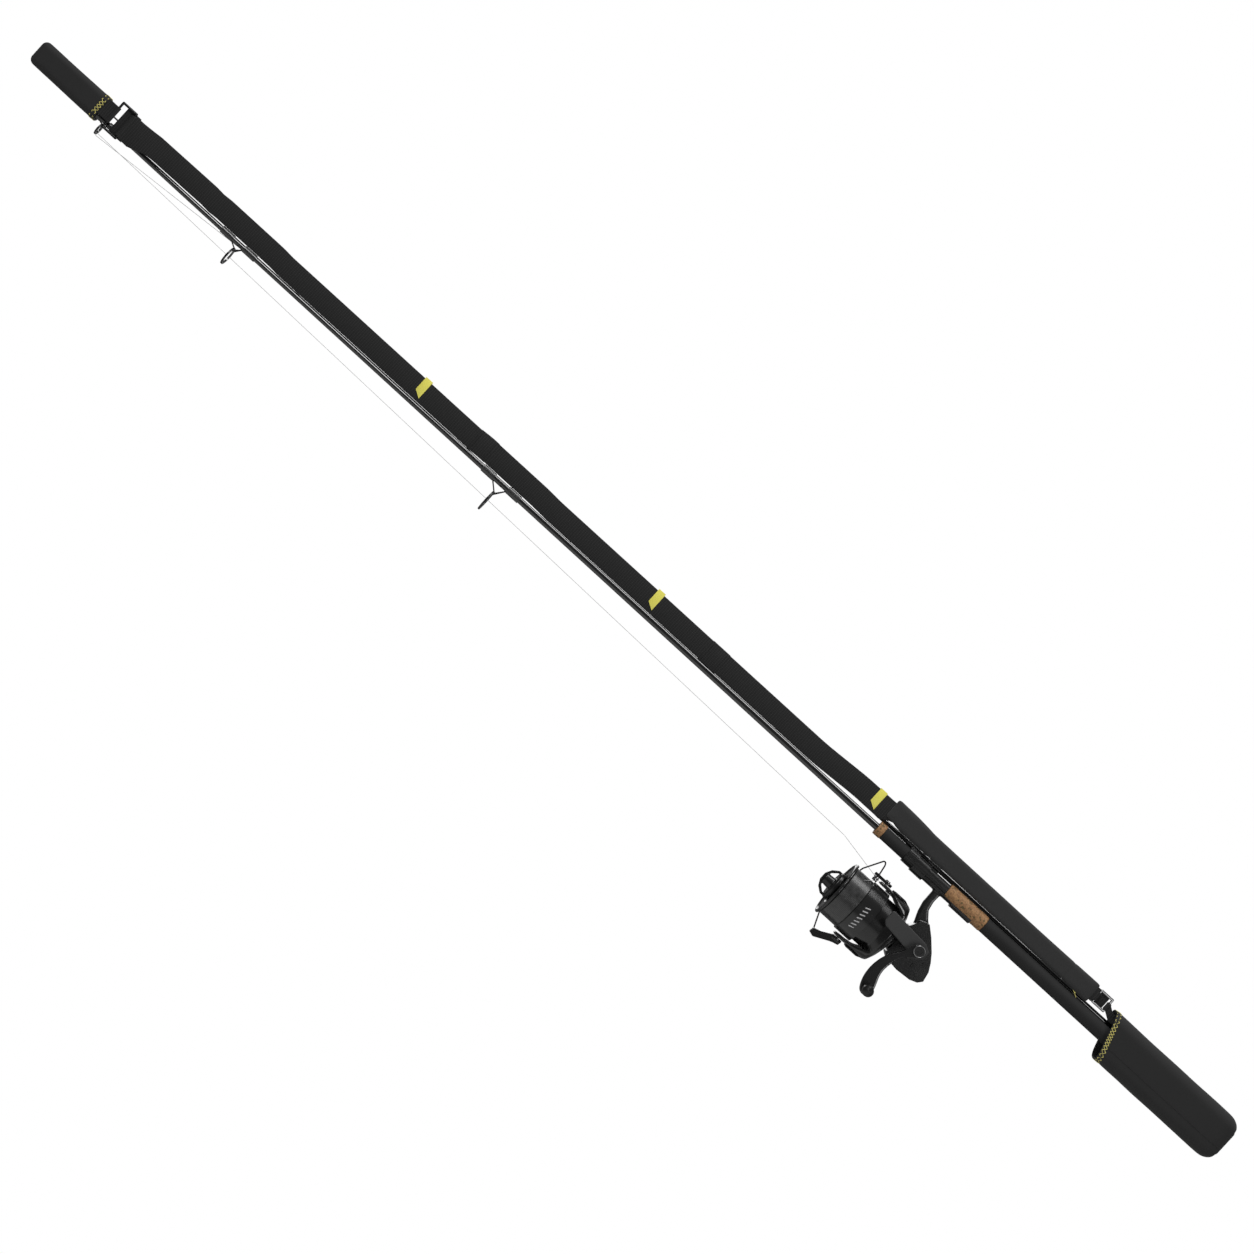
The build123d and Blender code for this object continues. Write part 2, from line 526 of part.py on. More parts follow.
def below_axis(outline):
    """Outline points measured from the reel's axis, as points in the part's own frame."""
    return [(x, REEL_Z + up) for x, up in outline]


def body_solid(inset, y0, y1):
    """The housing's outline pulled in by inset, between y0 and y1."""
    face = Plane.XZ * make_face(Polyline(*below_axis(BODY_OUTLINE), close=True))
    if inset:
        face = offset(face, -inset, kind=Kind.INTERSECTION)
    return Location((0, y1, 0)) * extrude(face, y1 - y0)


def housing():
    plate_y = -BODY_HALF_Y + COVER_PLATE
    shell = body_solid(0, plate_y, BODY_HALF_Y)
    cavity = body_solid(BODY_WALL, plate_y - 1, BODY_HALF_Y - BODY_WALL)
    rear_cut = side_plate(below_axis(REAR_OUTLINE), -30, 30)
    stem_outline = STEM_TOP_FRONT + below_axis(STEM_LOW_OUTLINE) + STEM_TOP_REAR
    stem = side_plate(stem_outline, -STEM_HALF_Y, STEM_HALF_Y)
    stem -= rod_x(SEAT_R + 0.5 * FOOT_PLATE, -60, 60)
    foot = foot_shape()
    collar = tube_x(11.2, 9.0, -11.0, -0.5, 0, REEL_Z)
    body = shell + stem - cavity + foot + collar
    body += rod_y(9.5, BODY_HALF_Y - 5.0, BODY_HALF_Y, DRIVE_X, DRIVE_Z)
    body += block(44, 50, -4, 4, WORM_Z - 5, REEL_Z + 6) & body_solid(0.5, -5, 5)
    body += block(-0.5, 4.0, -5, 5, WORM_Z - 6, WORM_Z + 4)
    body -= rod_x(PINION_SLEEVE_R + 0.5, -12, 3, 0, REEL_Z)
    body -= rod_y(DRIVE_SHAFT_R + RUN, BODY_HALF_Y - 1.5, BODY_HALF_Y + 5, DRIVE_X, DRIVE_Z)
    body -= rod_y(8.0, BODY_HALF_Y - 6, BODY_HALF_Y - 1.5, DRIVE_X, DRIVE_Z)
    body -= rod_x(2.4, -0.6, 60, 0, WORM_Z) & block(-0.6, 48.5, -9, 9, WORM_Z - 20, WORM_Z + 30)
    body -= rod_x(SHAFT_R + 0.6, 43, 49, 0, REEL_Z)
    keep("reel_body", body - rear_cut)
    rear = (shell - cavity) & rear_cut
    rear = rear - block(43.9, 60, -4.1, 4.1, WORM_Z - 5.1, DRIVE_Z)
    keep("rear_cover", rear.solids().sort_by(SortBy.VOLUME)[-1])
    plate = body_solid(0, -BODY_HALF_Y, plate_y)
    tower_end = GUARD_Y[1]
    plate += rod_y(9.0, tower_end, -BODY_HALF_Y + 0.5, DRIVE_X, DRIVE_Z)
    plate -= rod_y(DRIVE_SHAFT_R + 0.4, tower_end - 1, 0, DRIVE_X, DRIVE_Z)
    plate -= rod_y(8.0, -BODY_HALF_Y - 2.4, plate_y + 1, DRIVE_X, DRIVE_Z)
    screws = []
    for x, z in below_axis([(33, -6.6), (6, 17.4), (42, 3.4)]):
        head = rod_y(3.0, -BODY_HALF_Y - 1.0, -BODY_HALF_Y + 0.8, x, z)
        shank = rod_y(1.4, -BODY_HALF_Y + 0.8, plate_y, x, z)
        screws.append(head + shank)
        plate -= rod_y(3.0, -BODY_HALF_Y - 2, -BODY_HALF_Y + 0.8, x, z)
        plate -= rod_y(1.4, -BODY_HALF_Y, plate_y + 1, x, z)
    keep("side_cover", plate)
    keep("cover_screws", screws)
    guard = side_plate(below_axis(GUARD_OUTLINE), *GUARD_Y)
    keep("side_guard", guard - rod_y(DRIVE_SHAFT_R + 0.4, -60, 0, DRIVE_X, DRIVE_Z))
    bearings = []
    for y in (-BODY_HALF_Y - 2.4, BODY_HALF_Y - 4.7):
        bore = rod_y(DRIVE_SHAFT_R + RUN, y - 1, y + 4, DRIVE_X, DRIVE_Z)
        bearings.append(rod_y(8.0, y, y + 3.2, DRIVE_X, DRIVE_Z) - bore)
    keep("drive_bearings", bearings)
    keep("pinion_bearing", tube_x(9.0, PINION_SLEEVE_R + RUN, -4.2, -1.0, 0, REEL_Z))
    keep("one_way_clutch", tube_x(9.0, PINION_SLEEVE_R + RUN, -11.0, -4.4, 0, REEL_Z))


# ================================================================== gears and spool drive
def toothed(r_root, r_tip, x0, x1, count, z):
    """Spur gear about an X axis at height z."""
    gear = rod_x(r_root, x0, x1, 0, z)
    width = 0.42 * 2 * pi * r_root / count
    for k in range(count):
        tooth = block(x0, x1, -0.5 * width, 0.5 * width, r_root - 0.3, r_tip)
        gear += Location((0, 0, z)) * (Rotation(360.0 * k / count, 0, 0) * tooth)
    return gear


def gears():
    pinion = toothed(PINION_R - 0.9, PINION_R, 3.0, 15.0, PINION_TEETH, REEL_Z)
    pinion += rod_x(PINION_SLEEVE_R, -40.0, 3.5, 0, REEL_Z)
    keep("pinion_gear", pinion - rod_x(SHAFT_R + RUN, -50, 30, 0, REEL_Z))
    disc = rod_y(DRIVE_R, DRIVE_FACE_Y + 1.2, DRIVE_FACE_Y + 3.4, DRIVE_X, DRIVE_Z)
    for k in range(DRIVE_TEETH):
        tooth = block(DRIVE_R - 3.6, DRIVE_R - 0.2, DRIVE_FACE_Y, DRIVE_FACE_Y + 1.4, -0.45, 0.45)
        disc += Location((DRIVE_X, 0, DRIVE_Z)) * (Rotation(0, 360.0 * k / DRIVE_TEETH, 0) * tooth)
    disc += rod_y(DRIVE_SHAFT_R, ARM_Y[0] + 1.0, BODY_HALF_Y - 1.6, DRIVE_X, DRIVE_Z)
    keep("drive_gear", disc)
    worm = rod_x(WORM_R, 12.5, 43.0, 0, WORM_Z) + rod_x(2.35, -0.4, 48.3, 0, WORM_Z)
    for k in range(9):
        worm -= tube_x(WORM_R + 1, WORM_R - 0.7, 15.0 + 3.1 * k, 16.4 + 3.1 * k, 0, WORM_Z)
    keep("worm_shaft", worm)
    gear = toothed(5.2, REEL_Z - WORM_Z - PINION_R - 0.1, 6.0, 11.0, WORM_TEETH, WORM_Z)
    keep("worm_gear", gear - rod_x(2.35, 0, 20, 0, WORM_Z))
    slider = block(SHAFT_X[1] - 13.5, SHAFT_X[1] - 3.5, -3.8, 3.8, WORM_Z - 5.5, REEL_Z + 4.5)
    slider -= rod_x(WORM_R + 0.1, 0, 60, 0, WORM_Z)
    slider -= rod_x(SHAFT_R, 0, 60, 0, REEL_Z)
    keep("crosswind_slider", slider)
    keep("main_shaft", rod_x(SHAFT_R, *SHAFT_X, 0, REEL_Z))


# ================================================================== rotor and bail
def rotor_parts():
    x0, x1 = ROTOR_CUP_X
    r = ROTOR_CUP_R
    skin = 2.0
    profile = [(x0, r - skin), (x0, r), (x1 - 11, r), (x1 - 2, ROTOR_ARM_R - 1), (x1, ROTOR_ARM_R - 2),
               (x1 + 4, 30), (x1 + 7, 20), (x1 + 8, 13.2), (x1 + 8 - skin, 13.2), (x1 + 5, 19.2),
               (x1 + 2, 28.8), (x1 - 2.5, ROTOR_ARM_R - 3.5), (x1 - 11, r - skin)]
    cup = turned(profile, 0, REEL_Z)
    web = turned([(x1 - 11, r - 1.0), (x1 - 13, r - 1.0), (x1 - 13, PINION_SLEEVE_R),
                  (x1 - 4, PINION_SLEEVE_R), (x1 - 4, 8.5), (x1 - 11, 8.5)], 0, REEL_Z)
    outer = turned([(ROTOR_ARM_FRONT_X, ROTOR_ARM_R - ROTOR_ARM_T), (ROTOR_ARM_FRONT_X, ROTOR_ARM_R - 0.8),
                    (ROTOR_ARM_FRONT_X + 3, ROTOR_ARM_R), (x1 - 4, ROTOR_ARM_R), (x1 - 1, ROTOR_ARM_R - 2),
                    (x1 - 5, r + 4), (x1 - 8, ROTOR_ARM_R - ROTOR_ARM_T)], 0, REEL_Z)
    reach = ROTOR_ARM_R + 13.0
    blades = None
    for side in (-1, 1):
        floor = REEL_Z if side > 0 else REEL_Z - reach
        stations = TOP_ARM_PLAN if side > 0 else LOW_ARM_PLAN
        near_edge = [(x, -half_width) for x, half_width in stations]
        far_edge = [(x, half_width) for x, half_width in reversed(stations)]
        plan = make_face(Polyline(*near_edge, *far_edge, close=True))
        prism = Location((0, 0, floor)) * extrude(plan, reach)
        window = Location((-31, 0, floor)) * extrude(SlotOverall(24, 9.0), reach)
        arm = (outer & prism) - window
        blades = arm if blades is None else blades + arm
    rotor = cup + web + blades
    for side in (-1, 1):
        z_in = REEL_Z + side * (ROTOR_ARM_R - ROTOR_ARM_T - 1)
        z_out = REEL_Z + side * (ROTOR_ARM_R + 14)
        rotor -= rod_z(1.6, min(z_in, z_out), max(z_in, z_out), BAIL_X, 0)
    keep("rotor", rotor)
    hexagon = Rotation(0, 90, 0) * extrude(RegularPolygon(8.0, 6), 5.0)
    nut = Location((-38.2, 0, REEL_Z)) * hexagon
    keep("rotor_nut", nut - rod_x(PINION_SLEEVE_R, -60, 0, 0, REEL_Z))
    covers = []
    for side in (-1, 1):
        skin = turned([(-44, ROTOR_ARM_R), (-44, ROTOR_ARM_R + 1.2), (-41, ROTOR_ARM_R + 2.0),
                       (-22, ROTOR_ARM_R + 2.0), (-17, ROTOR_ARM_R)], 0, REEL_Z)
        outline = Polyline((-44, -7), (-30, -9), (-16, -4), (-16, 4), (-30, 9), (-44, 7), close=True)
        floor = REEL_Z if side > 0 else REEL_Z - reach
        leaf = skin & (Location((0, 0, floor)) * extrude(make_face(outline), reach))
        covers.append(leaf - rod_z(BAIL_SWEEP_R, REEL_Z - 70, REEL_Z + 70, BAIL_X))
    keep("rotor_arm_covers", covers)


BAIL_ROUTE = [              # corners of the bail wire, with heights above the reel's axis
    (-67.4, 5.5, 64.8),
    (-79.0, 35.0, 37.4),
    (-84.0, 57.5, 5.4),
    (-81.0, 48.0, -34.6),
]


def bail_parts():
    top = REEL_Z + ROTOR_ARM_R + BAIL_GAP
    low = REEL_Z - ROTOR_ARM_R - BAIL_GAP
    arm_top = rod_z(7.0, top, top + BAIL_ARM_T, BAIL_X, 0)
    outline = Polyline((BAIL_X, -7), (ROLLER_X, -6.2), (ROLLER_X - 4.5, -3.5), (ROLLER_X - 4.5, 1.5),
                       (ROLLER_X + 5, 1.6), (BAIL_X, 7), close=True)
    nose = extrude(make_face(outline), BAIL_ARM_T)
    arm_top += Location((0, 0, top)) * nose
    arm_top -= rod_z(1.7, top - 1, top + 9, BAIL_X, 0)
    keep("bail_arm", arm_top - rod_z(1.5, top - 5, top + 9, ROLLER_X, -2))
    roller_low = REEL_Z + SPOOL_LIP_R + 0.9
    pin = rod_z(1.5, roller_low - 1.6, top + BAIL_ARM_T + 0.4, ROLLER_X, -2)
    cap = rod_z(3.2, roller_low - 1.6, roller_low - 0.1, ROLLER_X, -2)
    bridge = block(ROLLER_X - 2, ROLLER_X + 3.4, -2, 4.2, roller_low - 1.6, roller_low - 0.1)
    cap += bridge
    keep("roller_pin", pin + cap)
    roller = turned([(0, 1.5 + RUN), (0, ROLLER_R), (1.2, ROLLER_R), (2.1, ROLLER_R - 0.9), (3.0, ROLLER_R),
                     (4.2, ROLLER_R), (4.2, 1.5 + RUN)])
    keep("line_roller", Location((ROLLER_X, -2, roller_low)) * (Rotation(0, -90, 0) * roller))
    end_z = REEL_Z - ROTOR_ARM_R - 13.0
    lever = side_plate([(BAIL_X + 6, low), (BAIL_X - 6, low), (-71, end_z + 5.5), (-79.5, end_z + 3),
                        (-80.5, end_z - 3.5), (-74, end_z - 5.5), (BAIL_X - 4, low - 9),
                        (BAIL_X + 6, low - 6)], -4.0, 4.0)
    lever += rod_z(7.0, low - BAIL_ARM_T, low, BAIL_X, 0)
    lever -= rod_z(1.7, low - 20, low + 1, BAIL_X, 0)
    lever -= rod_z(3.2, low - 20, low - BAIL_ARM_T, BAIL_X, 0)
    route = [(ROLLER_X + 2.4, 3.6, roller_low - 0.8)]
    route += [(x, y, REEL_Z + up) for x, y, up in BAIL_ROUTE]
    wire = wire_along(route + [(-77.5, 3.5, end_z)], BAIL_WIRE_R, 5.0)
    keep("bail_lever", lever - wire)
    keep("bail_wire", wire - bridge)
    pins = []
    arm_inner = ROTOR_ARM_R - ROTOR_ARM_T
    for side in (-1, 1):
        inner = REEL_Z + side * arm_inner
        face = REEL_Z + side * (ROTOR_ARM_R + BAIL_GAP + BAIL_ARM_T)
        top_face = face + side * 1.6
        pin = rod_z(1.6, min(inner, top_face), max(inner, top_face), BAIL_X)
        ends = (face + side * 0.05, top_face - side * 0.05)
        pins.append(pin + rod_z(3.0, min(ends), max(ends), BAIL_X))
    keep("bail_screws", pins)
    coil = Location((-40.0, 0, REEL_Z + ROTOR_ARM_R - ROTOR_ARM_T - 1.3)) * (
        Rotation(0, 90, 0) * (Cylinder(1.1, 14) - Cylinder(0.5, 16)))
    keep("bail_spring", coil)


# ================================================================== spool and drag
def spool_parts():
    lip = SPOOL_LIP_X
    line0, line1 = SPOOL_LINE_X
    arbor = SPOOL_ARBOR_R
    skirt_r = SPOOL_SKIRT_R
    wall = SKIRT_WALL
    bore = SHAFT_R + RUN
    outline = [(SPOOL_WELL_X, bore), (SPOOL_WELL_X, SPOOL_WELL_R), (lip + 3, SPOOL_WELL_R),
               (lip + 1.5, SPOOL_WELL_R + 1.5),
               (lip + 1.5, SPOOL_LIP_R - 4), (lip, SPOOL_LIP_R - 2.5), (lip + 0.6, SPOOL_LIP_R - 0.5),
               (lip + 1.6, SPOOL_LIP_R), (lip + 2.8, SPOOL_LIP_R - 0.4), (line0, SPOOL_LIP_R - 3.5), (line0, arbor),
               (line1, arbor), (line1, skirt_r - 1.5), (line1 + 1, skirt_r), (SPOOL_SKIRT_X, skirt_r),
               (SPOOL_SKIRT_X, skirt_r - wall), (line1 + 2.5, skirt_r - wall), (line1 + 2.5, arbor - 2.5),
               (SPOOL_WELL_X + 2.5, arbor - 2.5), (SPOOL_WELL_X + 2.5, 8), (line1 - 2, 8), (line1 - 2, bore)]
    keep("spool", turned(outline, 0, REEL_Z))
    keep("spool_line", tube_x(SPOOL_LINE_R, arbor, line0 + 0.1, line1 - 0.1, 0, REEL_Z))
    washers = []
    for k in range(6):
        x = SPOOL_WELL_X - 0.1 - 1.25 * (k + 1)
        washers.append(tube_x(SPOOL_WELL_R - 0.6, 3.2, x, x + 1.15, 0, REEL_Z))
    keep("drag_washers", washers)
    base_x = SPOOL_WELL_X - 0.1 - 1.25 * 6 - 0.3
    front = KNOB_FRONT_X
    knob = turned([(base_x, 3.0), (base_x, 12.0), (lip, 12.0), (lip, KNOB_R), (lip - 4.0, KNOB_R),
                   (lip - 6.0, KNOB_R - 2), (lip - 6.0, 7.5), (front + 3, 6.5), (front + 3, 0),
                   (SHAFT_X[0] - 1, 0), (SHAFT_X[0] - 1, bore),
                   (base_x - 2, bore), (base_x - 2, 3.0)], 0, REEL_Z)
    arch_r = KNOB_R - 1.0
    outer_half = [(lip - 5, arch_r), (lip - 9, arch_r), (lip - 16, arch_r * 0.7), (front, 4.5)]
    inner_half = [(lip - 5, arch_r - 3.2), (lip - 8.2, arch_r - 3.2), (lip - 14, arch_r * 0.7 - 3),
                  (front + 3, 3.5)]
    arch = side_plate([(x, -z) for x, z in outer_half] + outer_half[::-1], -1.7, 1.7)
    hole = side_plate([(x, -z) for x, z in inner_half] + inner_half[::-1], -3, 3)
    keep("drag_knob", knob + (Location((0, 0, REEL_Z)) * (arch - hole)))


# ================================================================== crank
ARM_OUTLINE = [             # from the drive gear's axis
    (7.6, -1), (5, 6.2), (-4, 6.4), (-12, -8), (-22.5, -25), (-29, -50), (-25, -71),
    (-18, -79), (-10, -77), (-8.5, -68), (-14.5, -50), (-14, -32), (-6, -16), (5, -6.4),
]
KNOB_PIN_PLACE = (-16.0, -71.5)


def crank():
    outline = [(DRIVE_X + dx, DRIVE_Z + dz) for dx, dz in ARM_OUTLINE]
    arm = side_plate(outline, *ARM_Y, rounded=True)
    arm -= rod_y(DRIVE_SHAFT_R, ARM_Y[0] + 1.0, ARM_Y[1] + 1, DRIVE_X, DRIVE_Z)
    pin_x = DRIVE_X + KNOB_PIN_PLACE[0]
    pin_z = DRIVE_Z + KNOB_PIN_PLACE[1]
    arm -= rod_y(KNOB_PIN_R, ARM_Y[0] - 1, ARM_Y[1] + 1, pin_x, pin_z)
    keep("handle_arm", arm)
    recess = rod_y(3.2, ARM_Y[0] - 3, ARM_Y[0] - 1.2, DRIVE_X, DRIVE_Z)
    keep("handle_cap", rod_y(7.4, ARM_Y[0] - 2.4, ARM_Y[0], DRIVE_X, DRIVE_Z) - recess)
    knob_y0 = ARM_Y[0] - 0.6 - KNOB_LENGTH
    keep("knob_pin", rod_y(KNOB_PIN_R, knob_y0 + 1.5, ARM_Y[1] - 0.1, pin_x, pin_z))
    knob = turned([(0, 4.2), (0.8, 5.0), (8, 6.0), (17, 7.0), (23, 6.6), (26, 4.6), (KNOB_LENGTH, 2.0),
                   (KNOB_LENGTH, 0), (KNOB_LENGTH - 1.4, 0), (KNOB_LENGTH - 1.4, KNOB_PIN_R + RUN),
                   (0, KNOB_PIN_R + RUN)])
    keep("handle_knob", Location((pin_x, ARM_Y[0] - 0.6, pin_z)) * (Rotation(0, 0, -90) * knob))


rod_sections()
guides()
handle()
soft_goods()
line_runs()
housing()
gears()
rotor_parts()
bail_parts()
spool_parts()
crank()
print(len(NODES), "nodes")
for node, solids in NODES.items():
    print(node, len(solids), "solids", round(sum(s.volume for s in solids), 1))
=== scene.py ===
# %% [markdown]
# # A spinning rod strapped up for carrying
# The rod's two sections lie side by side in two neoprene pockets. A strap joins the pockets,
# and a front-drag reel hangs from the seat. The CAD model holds every size and joint, so this
# lesson only adds what CAD leaves plain: fabric, stitching, cast metal and the finish of each
# surface. We load the model first and keep its box.

# %% Load the model
import json
import math

import bmesh
import bpy
from mathutils import Matrix, Vector, noise
from mathutils.bvhtree import BVHTree
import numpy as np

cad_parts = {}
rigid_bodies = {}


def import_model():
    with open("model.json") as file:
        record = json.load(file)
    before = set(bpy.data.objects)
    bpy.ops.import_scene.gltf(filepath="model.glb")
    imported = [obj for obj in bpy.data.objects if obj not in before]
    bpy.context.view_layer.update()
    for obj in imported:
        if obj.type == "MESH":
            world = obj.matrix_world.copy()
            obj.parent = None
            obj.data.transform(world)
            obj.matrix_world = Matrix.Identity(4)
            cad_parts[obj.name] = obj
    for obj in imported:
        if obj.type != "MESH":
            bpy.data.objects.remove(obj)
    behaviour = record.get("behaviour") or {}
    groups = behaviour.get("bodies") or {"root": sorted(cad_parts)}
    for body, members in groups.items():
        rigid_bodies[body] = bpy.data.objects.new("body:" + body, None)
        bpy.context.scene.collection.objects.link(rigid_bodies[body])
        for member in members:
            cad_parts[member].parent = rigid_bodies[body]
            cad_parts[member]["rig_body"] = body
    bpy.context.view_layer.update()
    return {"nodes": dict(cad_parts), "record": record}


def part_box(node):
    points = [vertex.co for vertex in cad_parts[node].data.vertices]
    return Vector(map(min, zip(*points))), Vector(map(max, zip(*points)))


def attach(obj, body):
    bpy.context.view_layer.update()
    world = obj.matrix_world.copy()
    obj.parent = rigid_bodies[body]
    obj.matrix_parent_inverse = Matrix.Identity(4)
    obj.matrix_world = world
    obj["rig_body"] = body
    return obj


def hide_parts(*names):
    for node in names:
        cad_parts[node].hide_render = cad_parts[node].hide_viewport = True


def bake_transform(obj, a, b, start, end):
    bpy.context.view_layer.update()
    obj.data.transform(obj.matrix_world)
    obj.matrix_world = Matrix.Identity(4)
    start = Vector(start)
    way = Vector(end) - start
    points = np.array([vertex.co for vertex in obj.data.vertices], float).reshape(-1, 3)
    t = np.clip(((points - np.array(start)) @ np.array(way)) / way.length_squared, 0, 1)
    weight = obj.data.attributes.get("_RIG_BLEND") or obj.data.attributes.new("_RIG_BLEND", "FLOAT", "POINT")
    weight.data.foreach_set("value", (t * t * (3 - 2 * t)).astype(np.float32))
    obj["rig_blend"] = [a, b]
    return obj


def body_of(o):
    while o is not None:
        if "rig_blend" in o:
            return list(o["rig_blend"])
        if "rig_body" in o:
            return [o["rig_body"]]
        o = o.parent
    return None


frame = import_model()
MM = 0.001

# %% [markdown]
# ## Camera and light
# The rod is seen square on, from the crank's side, and the picture is rolled so that the butt
# points down and to the right. A long lens keeps the two ends of a slim object alike in size.
# The surroundings are plain white to the camera, but dim to the object. Black gloss only reads as
# gloss when there are a few large, soft lights for it to mirror, so four wide lamps do the work.

# %% Camera
ROLL = math.radians(42.41)
VIEW_CENTRE = Vector((-0.471, 0.0, -0.0242))
VIEW_DISTANCE = 3.19
LENS = 79.6

camera_data = bpy.data.cameras.new("camera")
camera_data.lens = LENS
camera = bpy.data.objects.new("camera", camera_data)
bpy.context.scene.collection.objects.link(camera)
right = Vector((math.cos(ROLL), 0.0, math.sin(ROLL)))
up = Vector((-math.sin(ROLL), 0.0, math.cos(ROLL)))
back = Vector((0.0, -1.0, 0.0))
turn = Matrix((right, up, back)).transposed().to_4x4()
camera.matrix_world = Matrix.Translation(VIEW_CENTRE + back * VIEW_DISTANCE) @ turn
bpy.context.scene.camera = camera
print("camera at", tuple(round(c, 3) for c in camera.matrix_world.translation))

# %% Floor, surroundings and lamps
FLOOR_Z = -1.25
FLOOR_CENTRE = (-0.47, -1.4)
FLOOR_HALF = 1.9
SURROUND_LEVEL = 0.13
AIM = (-0.4, 0, 0)


def lamp(name, place, target, size, power):
    """A square soft lamp that looks at target."""
    data = bpy.data.lights.new(name, "AREA")
    data.size = size
    data.energy = power
    item = bpy.data.objects.new(name, data)
    bpy.context.scene.collection.objects.link(item)
    item.location = place
    item.rotation_mode = "QUATERNION"
    item.rotation_quaternion = (Vector(target) - Vector(place)).to_track_quat("-Z", "Y")
    return item


def plain_material(name, colour, roughness):
    material = bpy.data.materials.new(name)
    material.use_nodes = True
    shader = material.node_tree.nodes["Principled BSDF"]
    shader.inputs["Base Color"].default_value = (*colour, 1.0)
    shader.inputs["Roughness"].default_value = roughness
    return material


floor_bm = bmesh.new()
bmesh.ops.create_grid(floor_bm, x_segments=1, y_segments=1, size=FLOOR_HALF,
                      matrix=Matrix.Translation((*FLOOR_CENTRE, FLOOR_Z)))
floor_mesh = bpy.data.meshes.new("floor")
floor_bm.to_mesh(floor_mesh)
floor_bm.free()
floor = bpy.data.objects.new("floor", floor_mesh)
bpy.context.scene.collection.objects.link(floor)
floor_mesh.materials.append(plain_material("floor_paint", (0.86, 0.86, 0.85), 0.8))

world = bpy.data.worlds.new("surroundings")
bpy.context.scene.world = world
world.use_nodes = True
nodes, links = world.node_tree.nodes, world.node_tree.links
sky = nodes["Background"]
seen = nodes.new("ShaderNodeLightPath")
level = nodes.new("ShaderNodeMix")
level.data_type = "FLOAT"
level.inputs["A"].default_value = SURROUND_LEVEL
level.inputs["B"].default_value = 1.0
links.new(seen.outputs["Is Camera Ray"], level.inputs["Factor"])
links.new(level.outputs["Result"], sky.inputs["Strength"])
sky.inputs["Color"].default_value = (1.0, 1.0, 1.0, 1.0)

lamp("key", (-1.6, -2.2, 2.2), AIM, 1.2, 44.0)
lamp("fill", (1.2, -2.4, 0.2), (-0.2, 0, -0.05), 1.0, 12.0)
lamp("top", (-0.4, -0.3, 2.4), AIM, 1.2, 34.0)
lamp("back", (-0.6, 2.6, 0.8), AIM, 1.6, 14.0)
bpy.context.scene.view_settings.view_transform = "Standard"
print("floor", FLOOR_Z, "m below the rod's axis")

# %% [markdown]
# ## Finishes
# A finish is a colour, a roughness and a small relief, and each of them varies over the surface.
# What several materials share is a node group, made once and given other values each time.
# Every pattern reads Object coordinates in metres, so a weave keeps its real size everywhere.

# %% Node group helpers
def group(name, inputs, outputs):
    """An empty shader group, with its input and output nodes."""
    tree = bpy.data.node_groups.new(name, "ShaderNodeTree")
    for label, kind, value in inputs:
        socket = tree.interface.new_socket(name=label, in_out="INPUT", socket_type=kind)
        socket.default_value = value
    for label, kind in outputs:
        tree.interface.new_socket(name=label, in_out="OUTPUT", socket_type=kind)
    return tree, tree.nodes.new("NodeGroupInput"), tree.nodes.new("NodeGroupOutput")


def node(tree, kind, **values):
    """A node with its properties set."""
    made = tree.nodes.new(kind)
    for key, value in values.items():
        setattr(made, key, value)
    return made


def maths(tree, operation, first, second=None):
    """A Math node on two sockets or numbers, and its output."""
    made = node(tree, "ShaderNodeMath", operation=operation)
    for slot_index, value in enumerate((first, second)):
        if value is None:
            continue
        if isinstance(value, (int, float)):
            made.inputs[slot_index].default_value = value
        else:
            tree.links.new(value, made.inputs[slot_index])
    return made.outputs[0]


def mixed(tree, factor, first, second):
    """A colour mix of two colour sockets, by factor."""
    made = node(tree, "ShaderNodeMix", data_type="RGBA")
    tree.links.new(factor, made.inputs["Factor"])
    tree.links.new(first, made.inputs[6])
    tree.links.new(second, made.inputs[7])
    return made.outputs[2]


COLOUR, FLOAT, VECTOR = "NodeSocketColor", "NodeSocketFloat", "NodeSocketVector"
OUTPUTS = [("Colour", COLOUR), ("Roughness", FLOAT), ("Normal", VECTOR)]


def relief(tree, height, strength, distance):
    """A Bump node on a height socket, and its normal. strength is a socket or a number."""
    bump = node(tree, "ShaderNodeBump")
    bump.inputs["Distance"].default_value = distance
    if isinstance(strength, float):
        bump.inputs["Strength"].default_value = strength
    else:
        tree.links.new(strength, bump.inputs["Strength"])
    tree.links.new(height, bump.inputs["Height"])
    return bump.outputs["Normal"]


def noise_at(tree, scale, detail=3.0):
    """Noise in object space, at a scale per metre."""
    place = node(tree, "ShaderNodeTexCoord")
    field = node(tree, "ShaderNodeTexNoise")
    field.inputs["Detail"].default_value = detail
    tree.links.new(place.outputs["Object"], field.inputs["Vector"])
    if isinstance(scale, (int, float)):
        field.inputs["Scale"].default_value = scale
    else:
        tree.links.new(scale, field.inputs["Scale"])
    return field.outputs["Fac"]


